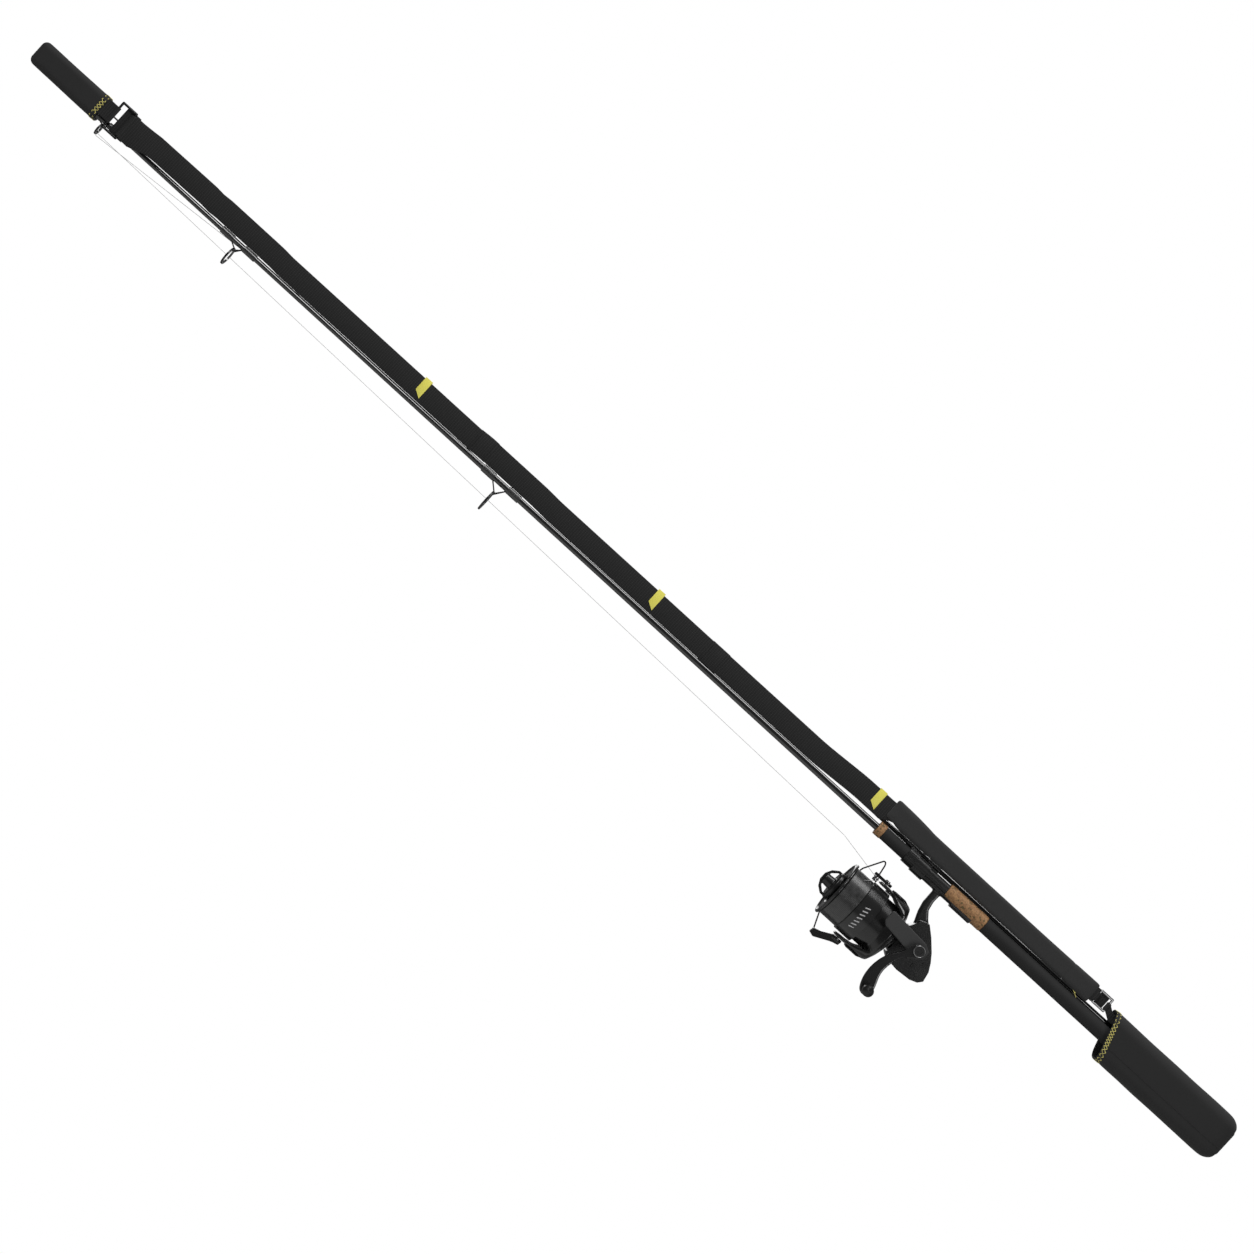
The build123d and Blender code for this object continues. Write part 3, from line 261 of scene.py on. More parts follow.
# %% Cast and moulded surfaces
def make_skin_group():
    """Fine grain with broad patches of slightly other colour and gloss."""
    tree, inside, out = group("grained_skin", [
        ("Colour", COLOUR, (0.05, 0.05, 0.05, 1)), ("Worn colour", COLOUR, (0.1, 0.1, 0.1, 1)),
        ("Grain", FLOAT, 2500.0), ("Relief", FLOAT, 0.3),
        ("Gloss low", FLOAT, 0.3), ("Gloss high", FLOAT, 0.5)], OUTPUTS)
    patches = noise_at(tree, 35.0, 4.0)
    grain = noise_at(tree, inside.outputs["Grain"], 2.0)
    share = maths(tree, "MULTIPLY", patches, 0.6)
    tree.links.new(mixed(tree, share, inside.outputs["Colour"], inside.outputs["Worn colour"]),
                   out.inputs["Colour"])
    spread = maths(tree, "SUBTRACT", inside.outputs["Gloss high"], inside.outputs["Gloss low"])
    shine = maths(tree, "ADD", inside.outputs["Gloss low"], maths(tree, "MULTIPLY", spread, patches))
    tree.links.new(shine, out.inputs["Roughness"])
    tree.links.new(relief(tree, grain, inside.outputs["Relief"], 0.0001), out.inputs["Normal"])
    return tree


# %% Woven and knitted surfaces
def make_cloth_group():
    """Ribs across the piece with finer ribs along it, a slight mottling of the dye, and a painted highlight:
    the crown of each rib and thread is coloured lighter.
    """
    tree, inside, out = group("ribbed_cloth", [
        ("Colour", COLOUR, (0.02, 0.02, 0.02, 1)), ("High colour", COLOUR, (0.05, 0.05, 0.05, 1)),
        ("Rib pitch", FLOAT, 0.0012), ("Thread pitch", FLOAT, 0.0009),
        ("Relief", FLOAT, 0.6), ("Mottle", FLOAT, 0.5)], OUTPUTS)
    place = node(tree, "ShaderNodeTexCoord")
    axes = node(tree, "ShaderNodeSeparateXYZ")
    tree.links.new(place.outputs["Object"], axes.inputs[0])

    def wave(axis, pitch):
        turns = maths(tree, "DIVIDE", axis, pitch)
        swing = maths(tree, "SINE", maths(tree, "MULTIPLY", turns, 2 * math.pi))
        return maths(tree, "ADD", maths(tree, "MULTIPLY", swing, 0.5), 0.5)

    ribs = wave(axes.outputs["X"], inside.outputs["Rib pitch"])
    around = maths(tree, "ADD", axes.outputs["Z"], axes.outputs["Y"])
    threads = wave(around, inside.outputs["Thread pitch"])
    thread_height = maths(tree, "ADD", maths(tree, "MULTIPLY", threads, 0.6), 0.4)
    height = maths(tree, "MULTIPLY", ribs, thread_height)
    dye = noise_at(tree, 60.0, 5.0)
    # Painted highlight: the higher a point of the rib, the more it takes the lighter colour; the dye noise
    # adds mottling on top.
    painted_rib_highlight = maths(tree, "MULTIPLY", height, 0.45)
    share = maths(tree, "ADD", painted_rib_highlight, maths(tree, "MULTIPLY", dye, inside.outputs["Mottle"]))
    tree.links.new(mixed(tree, share, inside.outputs["Colour"], inside.outputs["High colour"]),
                   out.inputs["Colour"])
    rough = maths(tree, "ADD", maths(tree, "MULTIPLY", dye, 0.15), 0.78)
    tree.links.new(rough, out.inputs["Roughness"])
    tree.links.new(relief(tree, height, inside.outputs["Relief"], 0.0003), out.inputs["Normal"])
    return tree


# %% Pressed cork
def make_cork_group():
    """Granules of three browns, with dark pores and green flecks between them."""
    tree, inside, out = group("pressed_cork", [
        ("Colour", COLOUR, (0.24, 0.115, 0.045, 1)), ("Pale", COLOUR, (0.4, 0.215, 0.09, 1)),
        ("Fleck", COLOUR, (0.06, 0.055, 0.018, 1)), ("Granules", FLOAT, 520.0)], OUTPUTS)
    place = node(tree, "ShaderNodeTexCoord")
    cells = node(tree, "ShaderNodeTexVoronoi")
    tree.links.new(place.outputs["Object"], cells.inputs["Vector"])
    tree.links.new(inside.outputs["Granules"], cells.inputs["Scale"])
    tone = node(tree, "ShaderNodeSeparateColor")
    tree.links.new(cells.outputs["Color"], tone.inputs[0])
    body = mixed(tree, tone.outputs["Red"], inside.outputs["Colour"], inside.outputs["Pale"])
    rare = maths(tree, "GREATER_THAN", tone.outputs["Green"], 0.86)
    pores = maths(tree, "GREATER_THAN", noise_at(tree, 900.0, 2.0), 0.63)
    marks = maths(tree, "MAXIMUM", maths(tree, "MULTIPLY", rare, 0.75), maths(tree, "MULTIPLY", pores, 0.5))
    tree.links.new(mixed(tree, marks, body, inside.outputs["Fleck"]), out.inputs["Colour"])
    rough = maths(tree, "ADD", maths(tree, "MULTIPLY", marks, 0.2), 0.62)
    tree.links.new(rough, out.inputs["Roughness"])
    height = maths(tree, "SUBTRACT", 1.0, marks)
    tree.links.new(relief(tree, height, 0.5, 0.0003), out.inputs["Normal"])
    return tree


# %% Turns of line or thread
def make_winding_group():
    """Fine turns laid side by side round an X axis, with a painted highlight at the crown of each turn,
    shown in bands of painted reflection.
    """
    tree, inside, out = group("wound_turns", [
        ("Colour", COLOUR, (0.05, 0.05, 0.05, 1)), ("Painted crown highlight", COLOUR, (0.3, 0.3, 0.3, 1)),
        ("Pitch", FLOAT, 0.0007), ("Relief", FLOAT, 0.8)], OUTPUTS)
    place = node(tree, "ShaderNodeTexCoord")
    axes = node(tree, "ShaderNodeSeparateXYZ")
    tree.links.new(place.outputs["Object"], axes.inputs[0])
    wander = maths(tree, "MULTIPLY", noise_at(tree, 120.0, 2.0), 0.0016)
    along = maths(tree, "ADD", axes.outputs["X"], wander)
    turns = maths(tree, "DIVIDE", along, inside.outputs["Pitch"])
    swing = maths(tree, "SINE", maths(tree, "MULTIPLY", turns, 2 * math.pi))
    height = maths(tree, "ADD", maths(tree, "MULTIPLY", swing, 0.5), 0.5)
    # Painted reflection: noise bands say where the crowns take the painted highlight colour; the same bands
    # vary the roughness.
    painted_reflection_bands = noise_at(tree, 260.0, 1.0)
    share = maths(tree, "MULTIPLY", height, painted_reflection_bands)
    tree.links.new(mixed(tree, share, inside.outputs["Colour"], inside.outputs["Painted crown highlight"]),
                   out.inputs["Colour"])
    tree.links.new(maths(tree, "ADD", maths(tree, "MULTIPLY", painted_reflection_bands, 0.2), 0.25), out.inputs["Roughness"])
    tree.links.new(relief(tree, height, inside.outputs["Relief"], 0.0002), out.inputs["Normal"])
    return tree


SKIN = make_skin_group()
CLOTH = make_cloth_group()
CORK = make_cork_group()
WINDING = make_winding_group()
print("groups:", [g.name for g in bpy.data.node_groups])


# %% Materials
def grey(value):
    return (value, value, value * 1.01, 1.0)


def finish_material(name, tree, values, **shader_values):
    """A Principled material whose colour, roughness and normal come from one group."""
    material = bpy.data.materials.new(name)
    material.use_nodes = True
    shader = material.node_tree.nodes["Principled BSDF"]
    source = material.node_tree.nodes.new("ShaderNodeGroup")
    source.node_tree = tree
    for label, value in values.items():
        source.inputs[label].default_value = value
    for label, value in shader_values.items():
        shader.inputs[label.replace("_", " ")].default_value = value
    link = material.node_tree.links.new
    link(source.outputs["Colour"], shader.inputs["Base Color"])
    link(source.outputs["Roughness"], shader.inputs["Roughness"])
    link(source.outputs["Normal"], shader.inputs["Normal"])
    return material


def skin(name, low, high, gloss, relief_strength=0.3, grain=2500.0, **shader_values):
    """A cast, moulded or painted surface. gloss is its least and greatest roughness."""
    tint = low if isinstance(low, tuple) else grey(low)
    second_tint = high if isinstance(high, tuple) else grey(high)
    return finish_material(name, SKIN, {"Colour": tint, "Worn colour": second_tint, "Grain": grain,
                                        "Relief": relief_strength, "Gloss low": gloss[0],
                                        "Gloss high": gloss[1]}, **shader_values)


def cloth(name, low, high, rib, thread, relief_strength=0.6, mottle=0.5, **shader_values):
    tint = low if isinstance(low, tuple) else grey(low)
    second_tint = high if isinstance(high, tuple) else grey(high)
    # The second colour of a cloth is both the dye's mottle and the painted highlight on the crowns of its
    # ribs.
    return finish_material(name, CLOTH, {"Colour": tint, "High colour": second_tint, "Rib pitch": rib,
                                         "Thread pitch": thread, "Relief": relief_strength,
                                         "Mottle": mottle}, **shader_values)


M = {
    "carbon": skin("clear_coated_carbon", 0.004, 0.008, (0.05, 0.08), 0.0, 900.0,
                   Coat_Weight=1.0, Coat_Roughness=0.03),
    "black_metal": skin("satin_black_metal", 0.012, 0.02, (0.25, 0.4), 0.15, Metallic=0.3),
    "dark_alloy": skin("dark_anodised_alloy", 0.03, 0.06, (0.2, 0.32), 0.1, 1800.0, Metallic=0.8),
    "crank_alloy": skin("polished_crank_alloy", 0.016, 0.03, (0.12, 0.2), 0.04, 1500.0, Metallic=0.5,
                        Coat_Weight=0.8, Coat_Roughness=0.08),
    "spool_alloy": skin("turned_spool_alloy", 0.022, 0.045, (0.16, 0.26), 0.05, 1500.0, Metallic=0.6,
                        Coat_Weight=0.4, Coat_Roughness=0.1),
    "housing": skin("graphite_composite", 0.005, 0.013, (0.2, 0.32), 0.04, 3000.0, Metallic=0.3,
                    Coat_Weight=0.5, Coat_Roughness=0.14),
    "mark": skin("pale_printed_marks", 0.4, 0.6, (0.4, 0.55), 0.1, 1500.0),
    "guard": skin("matte_side_plate", 0.03, 0.045, (0.55, 0.7), 0.4, 3600.0),
    "foam": skin("closed_cell_foam", 0.009, 0.018, (0.75, 0.95), 0.8, 2600.0),
    "rubber": skin("soft_rubber", 0.012, 0.02, (0.6, 0.8), 0.4, 2000.0),
    "cork": finish_material("pressed_cork", CORK, {}),
    # For each cloth the second, lighter colour is partly the dye's mottle and partly a painted highlight on
    # the rib crowns.
    "neoprene": cloth("knit_neoprene", 0.008, 0.024, 0.0011, 0.0009, 0.45, 0.5, Sheen_Weight=0.12),
    "pad": cloth("pad_knit", 0.018, 0.036, 0.001, 0.0009, 0.35, 0.45, Sheen_Weight=0.15),
    "webbing": cloth("elastic_webbing", 0.003, 0.032, 0.0029, 0.0021, 1.0, 0.2, Sheen_Weight=0.05),
    "tag": cloth("woven_tag", (0.85, 0.76, 0.08, 1), (1.0, 0.96, 0.24, 1), 0.0006, 0.0007, 0.3, 0.6),
    "stitch": cloth("yellow_thread", (0.85, 0.72, 0.12, 1), (1.0, 0.95, 0.4, 1), 0.0003, 0.0004, 0.5, 0.6),
    "dark_stitch": cloth("black_thread", 0.006, 0.03, 0.0003, 0.0004, 0.5, 0.5),
    "steel": skin("ground_steel", 0.36, 0.48, (0.18, 0.3), 0.1, 1500.0, Metallic=1.0),
    "black_steel": skin("blackened_steel", 0.02, 0.045, (0.2, 0.34), 0.1, 1500.0, Metallic=0.8),
    "brass": skin("machined_brass", (0.6, 0.42, 0.16, 1), (0.72, 0.55, 0.25, 1), (0.2, 0.35), 0.1,
                  Metallic=1.0),
    "ceramic": skin("polished_ceramic", 0.06, 0.1, (0.06, 0.12), 0.03, 600.0, Coat_Weight=0.6),
    # The lighter crown colour of the thread wraps is a painted highlight.
    "thread": finish_material("lacquered_thread", WINDING, {"Colour": grey(0.006), "Painted crown highlight": grey(0.03),
                                                            "Pitch": 0.0004, "Relief": 0.35},
                              Coat_Weight=0.9, Coat_Roughness=0.06),
    "line": skin("clear_grey_line", 0.4, 0.6, (0.25, 0.4), 0.1, 900.0),
    # The lighter crown colour of the wound line is a painted highlight, in painted reflection bands.
    "wound_line": finish_material("wound_line", WINDING, {"Colour": grey(0.006), "Painted crown highlight": grey(0.07),
                                                          "Pitch": 0.0016, "Relief": 0.25},
                                   Coat_Weight=0.5, Coat_Roughness=0.2),
    "carbon_washer": cloth("carbon_cloth", 0.02, 0.08, 0.002, 0.002, 0.5, 0.3),
}

record = frame["record"]
slot_of = {part["node"]: part["material_slot"] for part in record["subparts"]}
own_finish = {"cover_screws": "black_steel", "handle_cap": "black_metal", "spool": "spool_alloy",
              "side_guard": "guard", "butt_cap": "rubber", "spool_line": "wound_line",
              "handle_knob": "black_metal", "moving_hood": "black_metal", "lock_nut": "black_metal",
              "reel_seat": "black_metal"}
for name, item in frame["nodes"].items():
    chosen = M[own_finish.get(name, slot_of[name])]
    item.data.materials.clear()
    item.data.materials.append(chosen)
print(len(M), "materials on", len(frame["nodes"]), "nodes")


# %% [markdown]
# ## Tools for making pieces
# A bmesh is a mesh that the script edits, and it turns into an object only when it is done. The
# helpers here finish a bmesh, measure a CAD node with rays, and bake modifiers into a mesh.

# %% Helpers for pieces
SHARP = math.radians(38)


def finish_piece(name, bm, material, body=None, sharp=SHARP):
    """Turns a bmesh into a shaded object in the frame, riding on body."""
    mesh = bpy.data.meshes.new(name)
    bm.to_mesh(mesh)
    bm.free()
    piece = bpy.data.objects.new(name, mesh)
    bpy.context.scene.collection.objects.link(piece)
    mesh.materials.append(M[material])
    shade(mesh, sharp)
    if body:
        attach(piece, body)
    return piece


def shade(mesh, sharp=SHARP):
    """Smooth shading, with edges sharper than the angle kept crisp."""
    mesh.polygons.foreach_set("use_smooth", [True] * len(mesh.polygons))
    mesh.set_sharp_from_angle(angle=sharp)


def bake(piece, sharp=SHARP):
    """Replaces a piece's mesh by what its modifiers make of it."""
    depsgraph = bpy.context.evaluated_depsgraph_get()
    made = bpy.data.meshes.new_from_object(piece.evaluated_get(depsgraph))
    piece.modifiers.clear()
    old = piece.data
    piece.data = made
    bpy.data.meshes.remove(old)
    shade(made, sharp)


def surface(item):
    """A ray-casting tree of an object's mesh, which works on a hidden node too."""
    bm = bmesh.new()
    bm.from_mesh(item.data)
    tree = BVHTree.FromBMesh(bm)
    bm.free()
    return tree


def cut_across(bm, places, axis=(1, 0, 0)):
    """Edge loops where planes across the axis meet the mesh."""
    for place in places:
        bmesh.ops.bisect_plane(bm, geom=bm.verts[:] + bm.edges[:] + bm.faces[:],
                               plane_co=Vector(axis) * place, plane_no=axis)


def spaced(start, end, step):
    """Evenly spaced values from start to end, at most step apart."""
    count = max(1, math.ceil(abs(end - start) / step))
    return [start + (end - start) * k / count for k in range(count + 1)]


def rod_between(bm, start, end, radius, sides=6):
    """A short round rod from start to end, added to bm."""
    run = end - start
    turned = run.to_track_quat("Z", "Y").to_matrix().to_4x4()
    bmesh.ops.create_cone(bm, cap_ends=True, segments=sides, radius1=radius, radius2=radius,
                          depth=run.length, matrix=Matrix.Translation((start + end) / 2) @ turned)


# %% [markdown]
# ## The neoprene pockets
# Each pocket is foam rubber with a knitted face, closed at one end, with a turned hem and a
# zigzag of yellow thread at its mouth. It starts as a box with rounded edges. Cuts across it
# give the loops that the hem and the slight slackness of the foam need, and a wall is added last.

# %% Pockets
HEM_WIDTH = 7.0 * MM
HEM_RISE = 0.5 * MM
FOAM_WALL = 2.6 * MM


def pocket(name, node_name, body, mouth_sign, nose, slant, slack):
    """A pocket that stands for a CAD cover. mouth_sign is the side of its open end along X."""
    low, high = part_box(node_name)
    size, centre = high - low, (low + high) / 2
    mouth_x = high.x if mouth_sign > 0 else low.x
    nose_x = low.x if mouth_sign > 0 else high.x
    bm = bmesh.new()
    bmesh.ops.create_cube(bm, size=1.0, matrix=Matrix.LocRotScale(centre, None, size))
    long_edges = [e for e in bm.edges if abs(e.verts[0].co.x - e.verts[1].co.x) > size.x / 2]
    bmesh.ops.bevel(bm, geom=long_edges, offset=0.31 * size.y, segments=7, profile=0.5,
                    affect="EDGES", material=-1)
    nose_edges = [e for e in bm.edges if all(abs(v.co.x - nose_x) < 1e-6 for v in e.verts)]
    bmesh.ops.bevel(bm, geom=nose_edges, offset=nose, segments=6, profile=0.5,
                    affect="EDGES", material=-1)
    mouth = [f for f in bm.faces if all(abs(v.co.x - mouth_x) < 1e-6 for v in f.verts)]
    bmesh.ops.delete(bm, geom=mouth, context="FACES_ONLY")
    hem_end = mouth_x - mouth_sign * HEM_WIDTH
    cut_across(bm, [hem_end, hem_end - mouth_sign * 0.4 * MM])
    cut_across(bm, spaced(nose_x + mouth_sign * nose, hem_end, 9 * MM)[1:-1])
    cut_across(bm, [centre.z + share * size.z for share in (-0.25, 0.0, 0.25)], (0, 0, 1))
    bm.normal_update()
    for v in bm.verts:
        from_mouth = abs(v.co.x - mouth_x)
        if from_mouth <= HEM_WIDTH + 1e-6:
            rise = 0.0
        else:
            wave = noise.noise(Vector((v.co.x * 22.0, v.co.y * 40.0, v.co.z * 30.0)))
            rise = -HEM_RISE + slack * wave
        v.co += v.normal * rise
    for v in bm.verts:
        reach = max(0.0, 1.0 - abs(v.co.x - mouth_x) / (0.5 * size.x))
        v.co.x -= mouth_sign * slant * reach * (high.z - v.co.z) / size.z
    bmesh.ops.recalc_face_normals(bm, faces=bm.faces)
    piece = finish_piece(name, bm, "neoprene")
    wall = piece.modifiers.new("wall", "SOLIDIFY")
    wall.thickness = FOAM_WALL
    wall.offset = -1.0
    round_off = piece.modifiers.new("round_off", "SUBSURF")
    round_off.levels = round_off.render_levels = 1
    bake(piece)
    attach(piece, body)
    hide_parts(node_name)
    return piece


def mouth_place(node_name, mouth_sign, slant, z):
    """x of the pocket's rim at height z."""
    low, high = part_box(node_name)
    mouth_x = high.x if mouth_sign > 0 else low.x
    return mouth_x - mouth_sign * slant * (high.z - z) / (high.z - low.z)


BUTT_SLANT = 17.0 * MM
tip_pocket = pocket("tip_pocket", "tip_cover", "tip_cover_set", 1, 8 * MM, 0.0, 0.5 * MM)
butt_pocket = pocket("butt_pocket", "butt_cover", "rod_and_housing", -1, 17 * MM, BUTT_SLANT, 0.6 * MM)
print("pockets:", len(tip_pocket.data.polygons), len(butt_pocket.data.polygons), "faces")

# %% Zigzag stitching round a mouth
STITCH_R = 0.32 * MM
ZIGZAG_WIDTH = 5.5 * MM


def zigzag(name, pocket_piece, node_name, body, mouth_sign, slant, count):
    """Two crossed rows of slanting stitches, laid on the pocket by rays towards its axis."""
    low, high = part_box(node_name)
    centre, tree = (low + high) / 2, surface(pocket_piece)
    bm = bmesh.new()

    def on_skin(angle, inset):
        out = Vector((0, math.cos(angle), math.sin(angle)))
        height = centre.z
        for _ in range(3):
            x = mouth_place(node_name, mouth_sign, slant, height) - mouth_sign * inset
            hit, normal, _, _ = tree.ray_cast(Vector((x, centre.y, centre.z)) + out * 0.08, -out)
            if hit is None or (hit - Vector((x, centre.y, centre.z))).dot(out) < 0:
                height = centre.z + 0.5 * (high.z - low.z) * math.sin(angle)
                continue
            height = hit.z
        return hit + normal * STITCH_R * 0.5 if hit else None

    for k in range(count):
        here, there = (2 * math.pi * (k + step) / count for step in (0, 1))
        for near, far in ((1.2 * MM, 1.2 * MM + ZIGZAG_WIDTH), (1.2 * MM + ZIGZAG_WIDTH, 1.2 * MM)):
            start, end = on_skin(here, near), on_skin(there, far)
            if start and end:
                rod_between(bm, start, end, STITCH_R)
    piece = finish_piece(name, bm, "stitch", body)
    return piece


tip_zigzag = zigzag("tip_pocket_zigzag", tip_pocket, "tip_cover", "tip_cover_set", 1, 0.0, 20)
butt_zigzag = zigzag("butt_pocket_zigzag", butt_pocket, "butt_cover", "rod_and_housing", -1, BUTT_SLANT, 38)
print("zigzags:", len(tip_zigzag.data.polygons), len(butt_zigzag.data.polygons), "faces")

# %% [markdown]
# The butt pocket is cut from one sheet and closed by a seam along its length. The seam is a thin
# dark thread laid on the front and back of the finished pocket, at points found by rays.

# %% The butt pocket's lengthwise seam
SEAM_Z = -9.0 * MM
SEAM_R = 0.35 * MM
butt_low, butt_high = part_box("butt_cover")
butt_skin = surface(butt_pocket)
seam_bm = bmesh.new()
seam_x0 = mouth_place("butt_cover", -1, BUTT_SLANT, SEAM_Z) + HEM_WIDTH
for y_from, y_step in ((-0.1, 1), (0.1, -1)):
    seam_points = []
    for x in spaced(seam_x0, butt_high.x - 7 * MM, 6 * MM):
        hit = butt_skin.ray_cast(Vector((x, y_from, SEAM_Z)), Vector((0, y_step, 0)))[0]
        if hit:
            seam_points.append(hit)
    for start, end in zip(seam_points, seam_points[1:]):
        rod_between(seam_bm, start, end, SEAM_R)
butt_seam = finish_piece("butt_pocket_seam", seam_bm, "dark_stitch", "rod_and_housing")
print("seam:", len(butt_seam.data.polygons), "faces")

# %% [markdown]
# ## The strap and its tags
# The strap is woven elastic, flat and about two millimetres thick. Padding and simulation would
# rob it of its crisp edge, so it is modelled directly: a box is cut across at short steps, and
# each loop takes the height and width that rays find on the CAD strap. When the tip pocket is
# drawn off, the strap stretches, so it blends from the rod to the pocket.

# %% Measuring a flat node
strap_low, strap_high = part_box("elastic_strap")
pad_low, pad_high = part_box("strap_pad")
BLEND_START = Vector((pad_low.x, 0, 0))
BLEND_END = Vector((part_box("top_buckle")[1].x + 1.5 * MM, 0, 0))


FAR = 0.3


def edges_at(tree, x, y):
    """Lowest and highest z of a node at x and y, found by rays from far off."""
    below = tree.ray_cast(Vector((x, y, -FAR)), Vector((0, 0, 1)))[0]
    above = tree.ray_cast(Vector((x, y, FAR)), Vector((0, 0, -1)))[0]
    return (below.z, above.z) if below and above else None


def faces_at(tree, x, z):
    """Front and back y of a node at x and z."""
    front = tree.ray_cast(Vector((x, -FAR, z)), Vector((0, 1, 0)))[0]
    behind = tree.ray_cast(Vector((x, FAR, z)), Vector((0, -1, 0)))[0]
    return (front.y, behind.y) if front and behind else None


def ribbon(node_name, x0, x1, step, grow=0.0):
    """A box from x0 to x1 that follows a flat CAD node's edges and faces."""
    tree = surface(frame["nodes"][node_name])
    low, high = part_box(node_name)
    bm = bmesh.new()
    middle = Vector(((x0 + x1) / 2, 0, 0))
    half_size = Vector(((x1 - x0) / 2, 1, 1))
    bmesh.ops.create_cube(bm, size=2.0, matrix=Matrix.LocRotScale(middle, None, half_size))
    cut_across(bm, spaced(x0, x1, step)[1:-1])
    measured = {}
    for v in bm.verts:
        x = round(min(max(v.co.x, x0 + 0.1 * MM), x1 - 0.1 * MM), 6)
        if x not in measured:
            found = [edges_at(tree, x, depth) for depth in spaced(low.y, high.y, 0.7 * MM)]
            edges = (min(pair[0] for pair in found if pair), max(pair[1] for pair in found if pair))
            measured[x] = edges, faces_at(tree, x, (edges[0] + edges[1]) / 2)
        edges, faces = measured[x]
        v.co.y = faces[0] - grow if v.co.y < 0 else faces[1] + grow
        v.co.z = edges[0] - grow if v.co.z < 0 else edges[1] + grow
    return bm


# %% [markdown]
# The real strap is soft enough to rest on the rod along its length. Rays find the top of the blank
# and of its thread wraps, and a table of depths says how far the strap may sink at each place. The
# depth fades out towards the buckle and the sleeve, where the strap is held.

# %% How far the strap sinks onto the rod
REST_GAP = 0.3 * MM
FADE = 60 * MM
BUNCH = 24 * MM
STRAP_DEPTH_Y = -1 * MM
ABOVE_ROD = 12 * MM
rod_trees = [surface(frame["nodes"][n]) for n in ("butt_blank", "thread_wraps")]
strap_tree = surface(frame["nodes"]["elastic_strap"])
SINK_FROM, SINK_TO = strap_low.x + 40 * MM, pad_low.x - 45 * MM


def rod_top(x):
    """Height of the rod under the strap at x."""
    start = Vector((x, STRAP_DEPTH_Y, ABOVE_ROD))
    hits = [tree.ray_cast(start, Vector((0, 0, -1)))[0] for tree in rod_trees]
    return max([hit.z for hit in hits if hit and hit.z > 0] or [0.0])


sink_table = []
for x in spaced(SINK_FROM, SINK_TO, 8 * MM):
    edges = edges_at(strap_tree, x, STRAP_DEPTH_Y)
    rest = max(rod_top(x + BUNCH * share) for share in (-1, -0.5, 0, 0.5, 1)) + REST_GAP
    fade = min(1.0, (x - SINK_FROM) / FADE, (SINK_TO - x) / FADE)
    sink_table.append((x, fade * min(0.0, rest - edges[0]) if edges else 0.0))


def sink_at(x):
    """How much the strap lies lower than its CAD node at x, blended between measured places."""
    for (x0, s0), (x1, s1) in zip(sink_table, sink_table[1:]):
        if x0 <= x <= x1:
            return s0 + (s1 - s0) * (x - x0) / (x1 - x0)
    return 0.0


def settle(bm):
    """Lets a piece on the strap sink with it."""
    for v in bm.verts:
        v.co.z += sink_at(v.co.x)


print("deepest sink:", round(min(depth for _, depth in sink_table) * 1000, 2), "mm")

# %% The strap
STRAP_EDGE = 0.5 * MM
STRAP_STEP = 12 * MM
strap_x0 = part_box("top_buckle")[1].x + 1.9 * MM
strap_x1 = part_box("bottom_buckle")[0].x - 0.5 * MM
strap_bm = ribbon("elastic_strap", strap_x0, strap_x1, STRAP_STEP)
long_edges = [e for e in strap_bm.edges
              if abs(e.verts[0].co.x - e.verts[1].co.x) > 1 * MM]
bmesh.ops.bevel(strap_bm, geom=long_edges, offset=STRAP_EDGE, segments=3, profile=0.5,
                affect="EDGES", material=-1)
settle(strap_bm)
bmesh.ops.recalc_face_normals(strap_bm, faces=strap_bm.faces)
strap = finish_piece("carry_strap", strap_bm, "webbing")
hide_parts("elastic_strap")
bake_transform(strap, "rod_and_housing", "tip_cover_set", BLEND_START, BLEND_END)
print("strap:", round((strap_x1 - strap_x0) * 1000), "mm")

# %% [markdown]
# At each end the strap turns back round a buckle's bar. That eye is a tight curl, so it is cut from
# the CAD strap with two planes, remeshed finely and smoothed a little.

# %% The strap's two eyes
EYE_OVERLAP = 2.5 * MM
WEBBING_VOXEL = 0.5 * MM


def strap_eye(name, keep_from, keep_to):
    """The turned-back end of the strap round a buckle's bar, cut from the CAD strap and softened."""
    bm = bmesh.new()
    bm.from_mesh(frame["nodes"]["elastic_strap"].data)
    bmesh.ops.remove_doubles(bm, verts=bm.verts, dist=1e-6)
    for place, outward in ((keep_from, -1), (keep_to, 1)):
        cut = bmesh.ops.bisect_plane(bm, geom=bm.verts[:] + bm.edges[:] + bm.faces[:],
                                     plane_co=(place, 0, 0), plane_no=(outward, 0, 0), clear_outer=True)
        rim = [e for e in cut["geom_cut"] if isinstance(e, bmesh.types.BMEdge)]
        if rim:
            bmesh.ops.holes_fill(bm, edges=rim)
    piece = finish_piece(name, bm, "webbing")
    grid = piece.modifiers.new("grid", "REMESH")
    grid.mode = "VOXEL"
    grid.voxel_size = WEBBING_VOXEL
    soften = piece.modifiers.new("soften", "SMOOTH")
    soften.iterations = 2
    bake(piece, math.radians(60))
    return piece


top_eye = strap_eye("strap_eye_top", strap_low.x - 1 * MM, strap_x0 + EYE_OVERLAP)
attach(top_eye, "tip_cover_set")
low_eye = strap_eye("strap_eye_low", strap_x1 - EYE_OVERLAP, strap_high.x + 1 * MM)
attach(low_eye, "rod_and_housing")
print("eyes:", len(top_eye.data.polygons), len(low_eye.data.polygons), "faces")

# %% [markdown]
# Where two lengths of the elastic meet they are lapped and sewn through, so each join is a
# second layer with a box of stitches. The tags are folded over the strap and cut on a slant.

# %% Joins and tags
JOINS_X = (strap_x0 + 533 * MM, strap_x0 + 893 * MM)
JOIN_LENGTH = 26 * MM
SEW_INSET = 3 * MM
SEW_PITCH = 2.6 * MM
SEW_LENGTH = 1.8 * MM
SEW_R = 0.3 * MM
SEW_PROBE_Y = (strap_low.y + strap_high.y) / 2 + 2.6 * MM


def follow_strap(piece):
    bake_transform(piece, "rod_and_housing", "tip_cover_set", BLEND_START, BLEND_END)


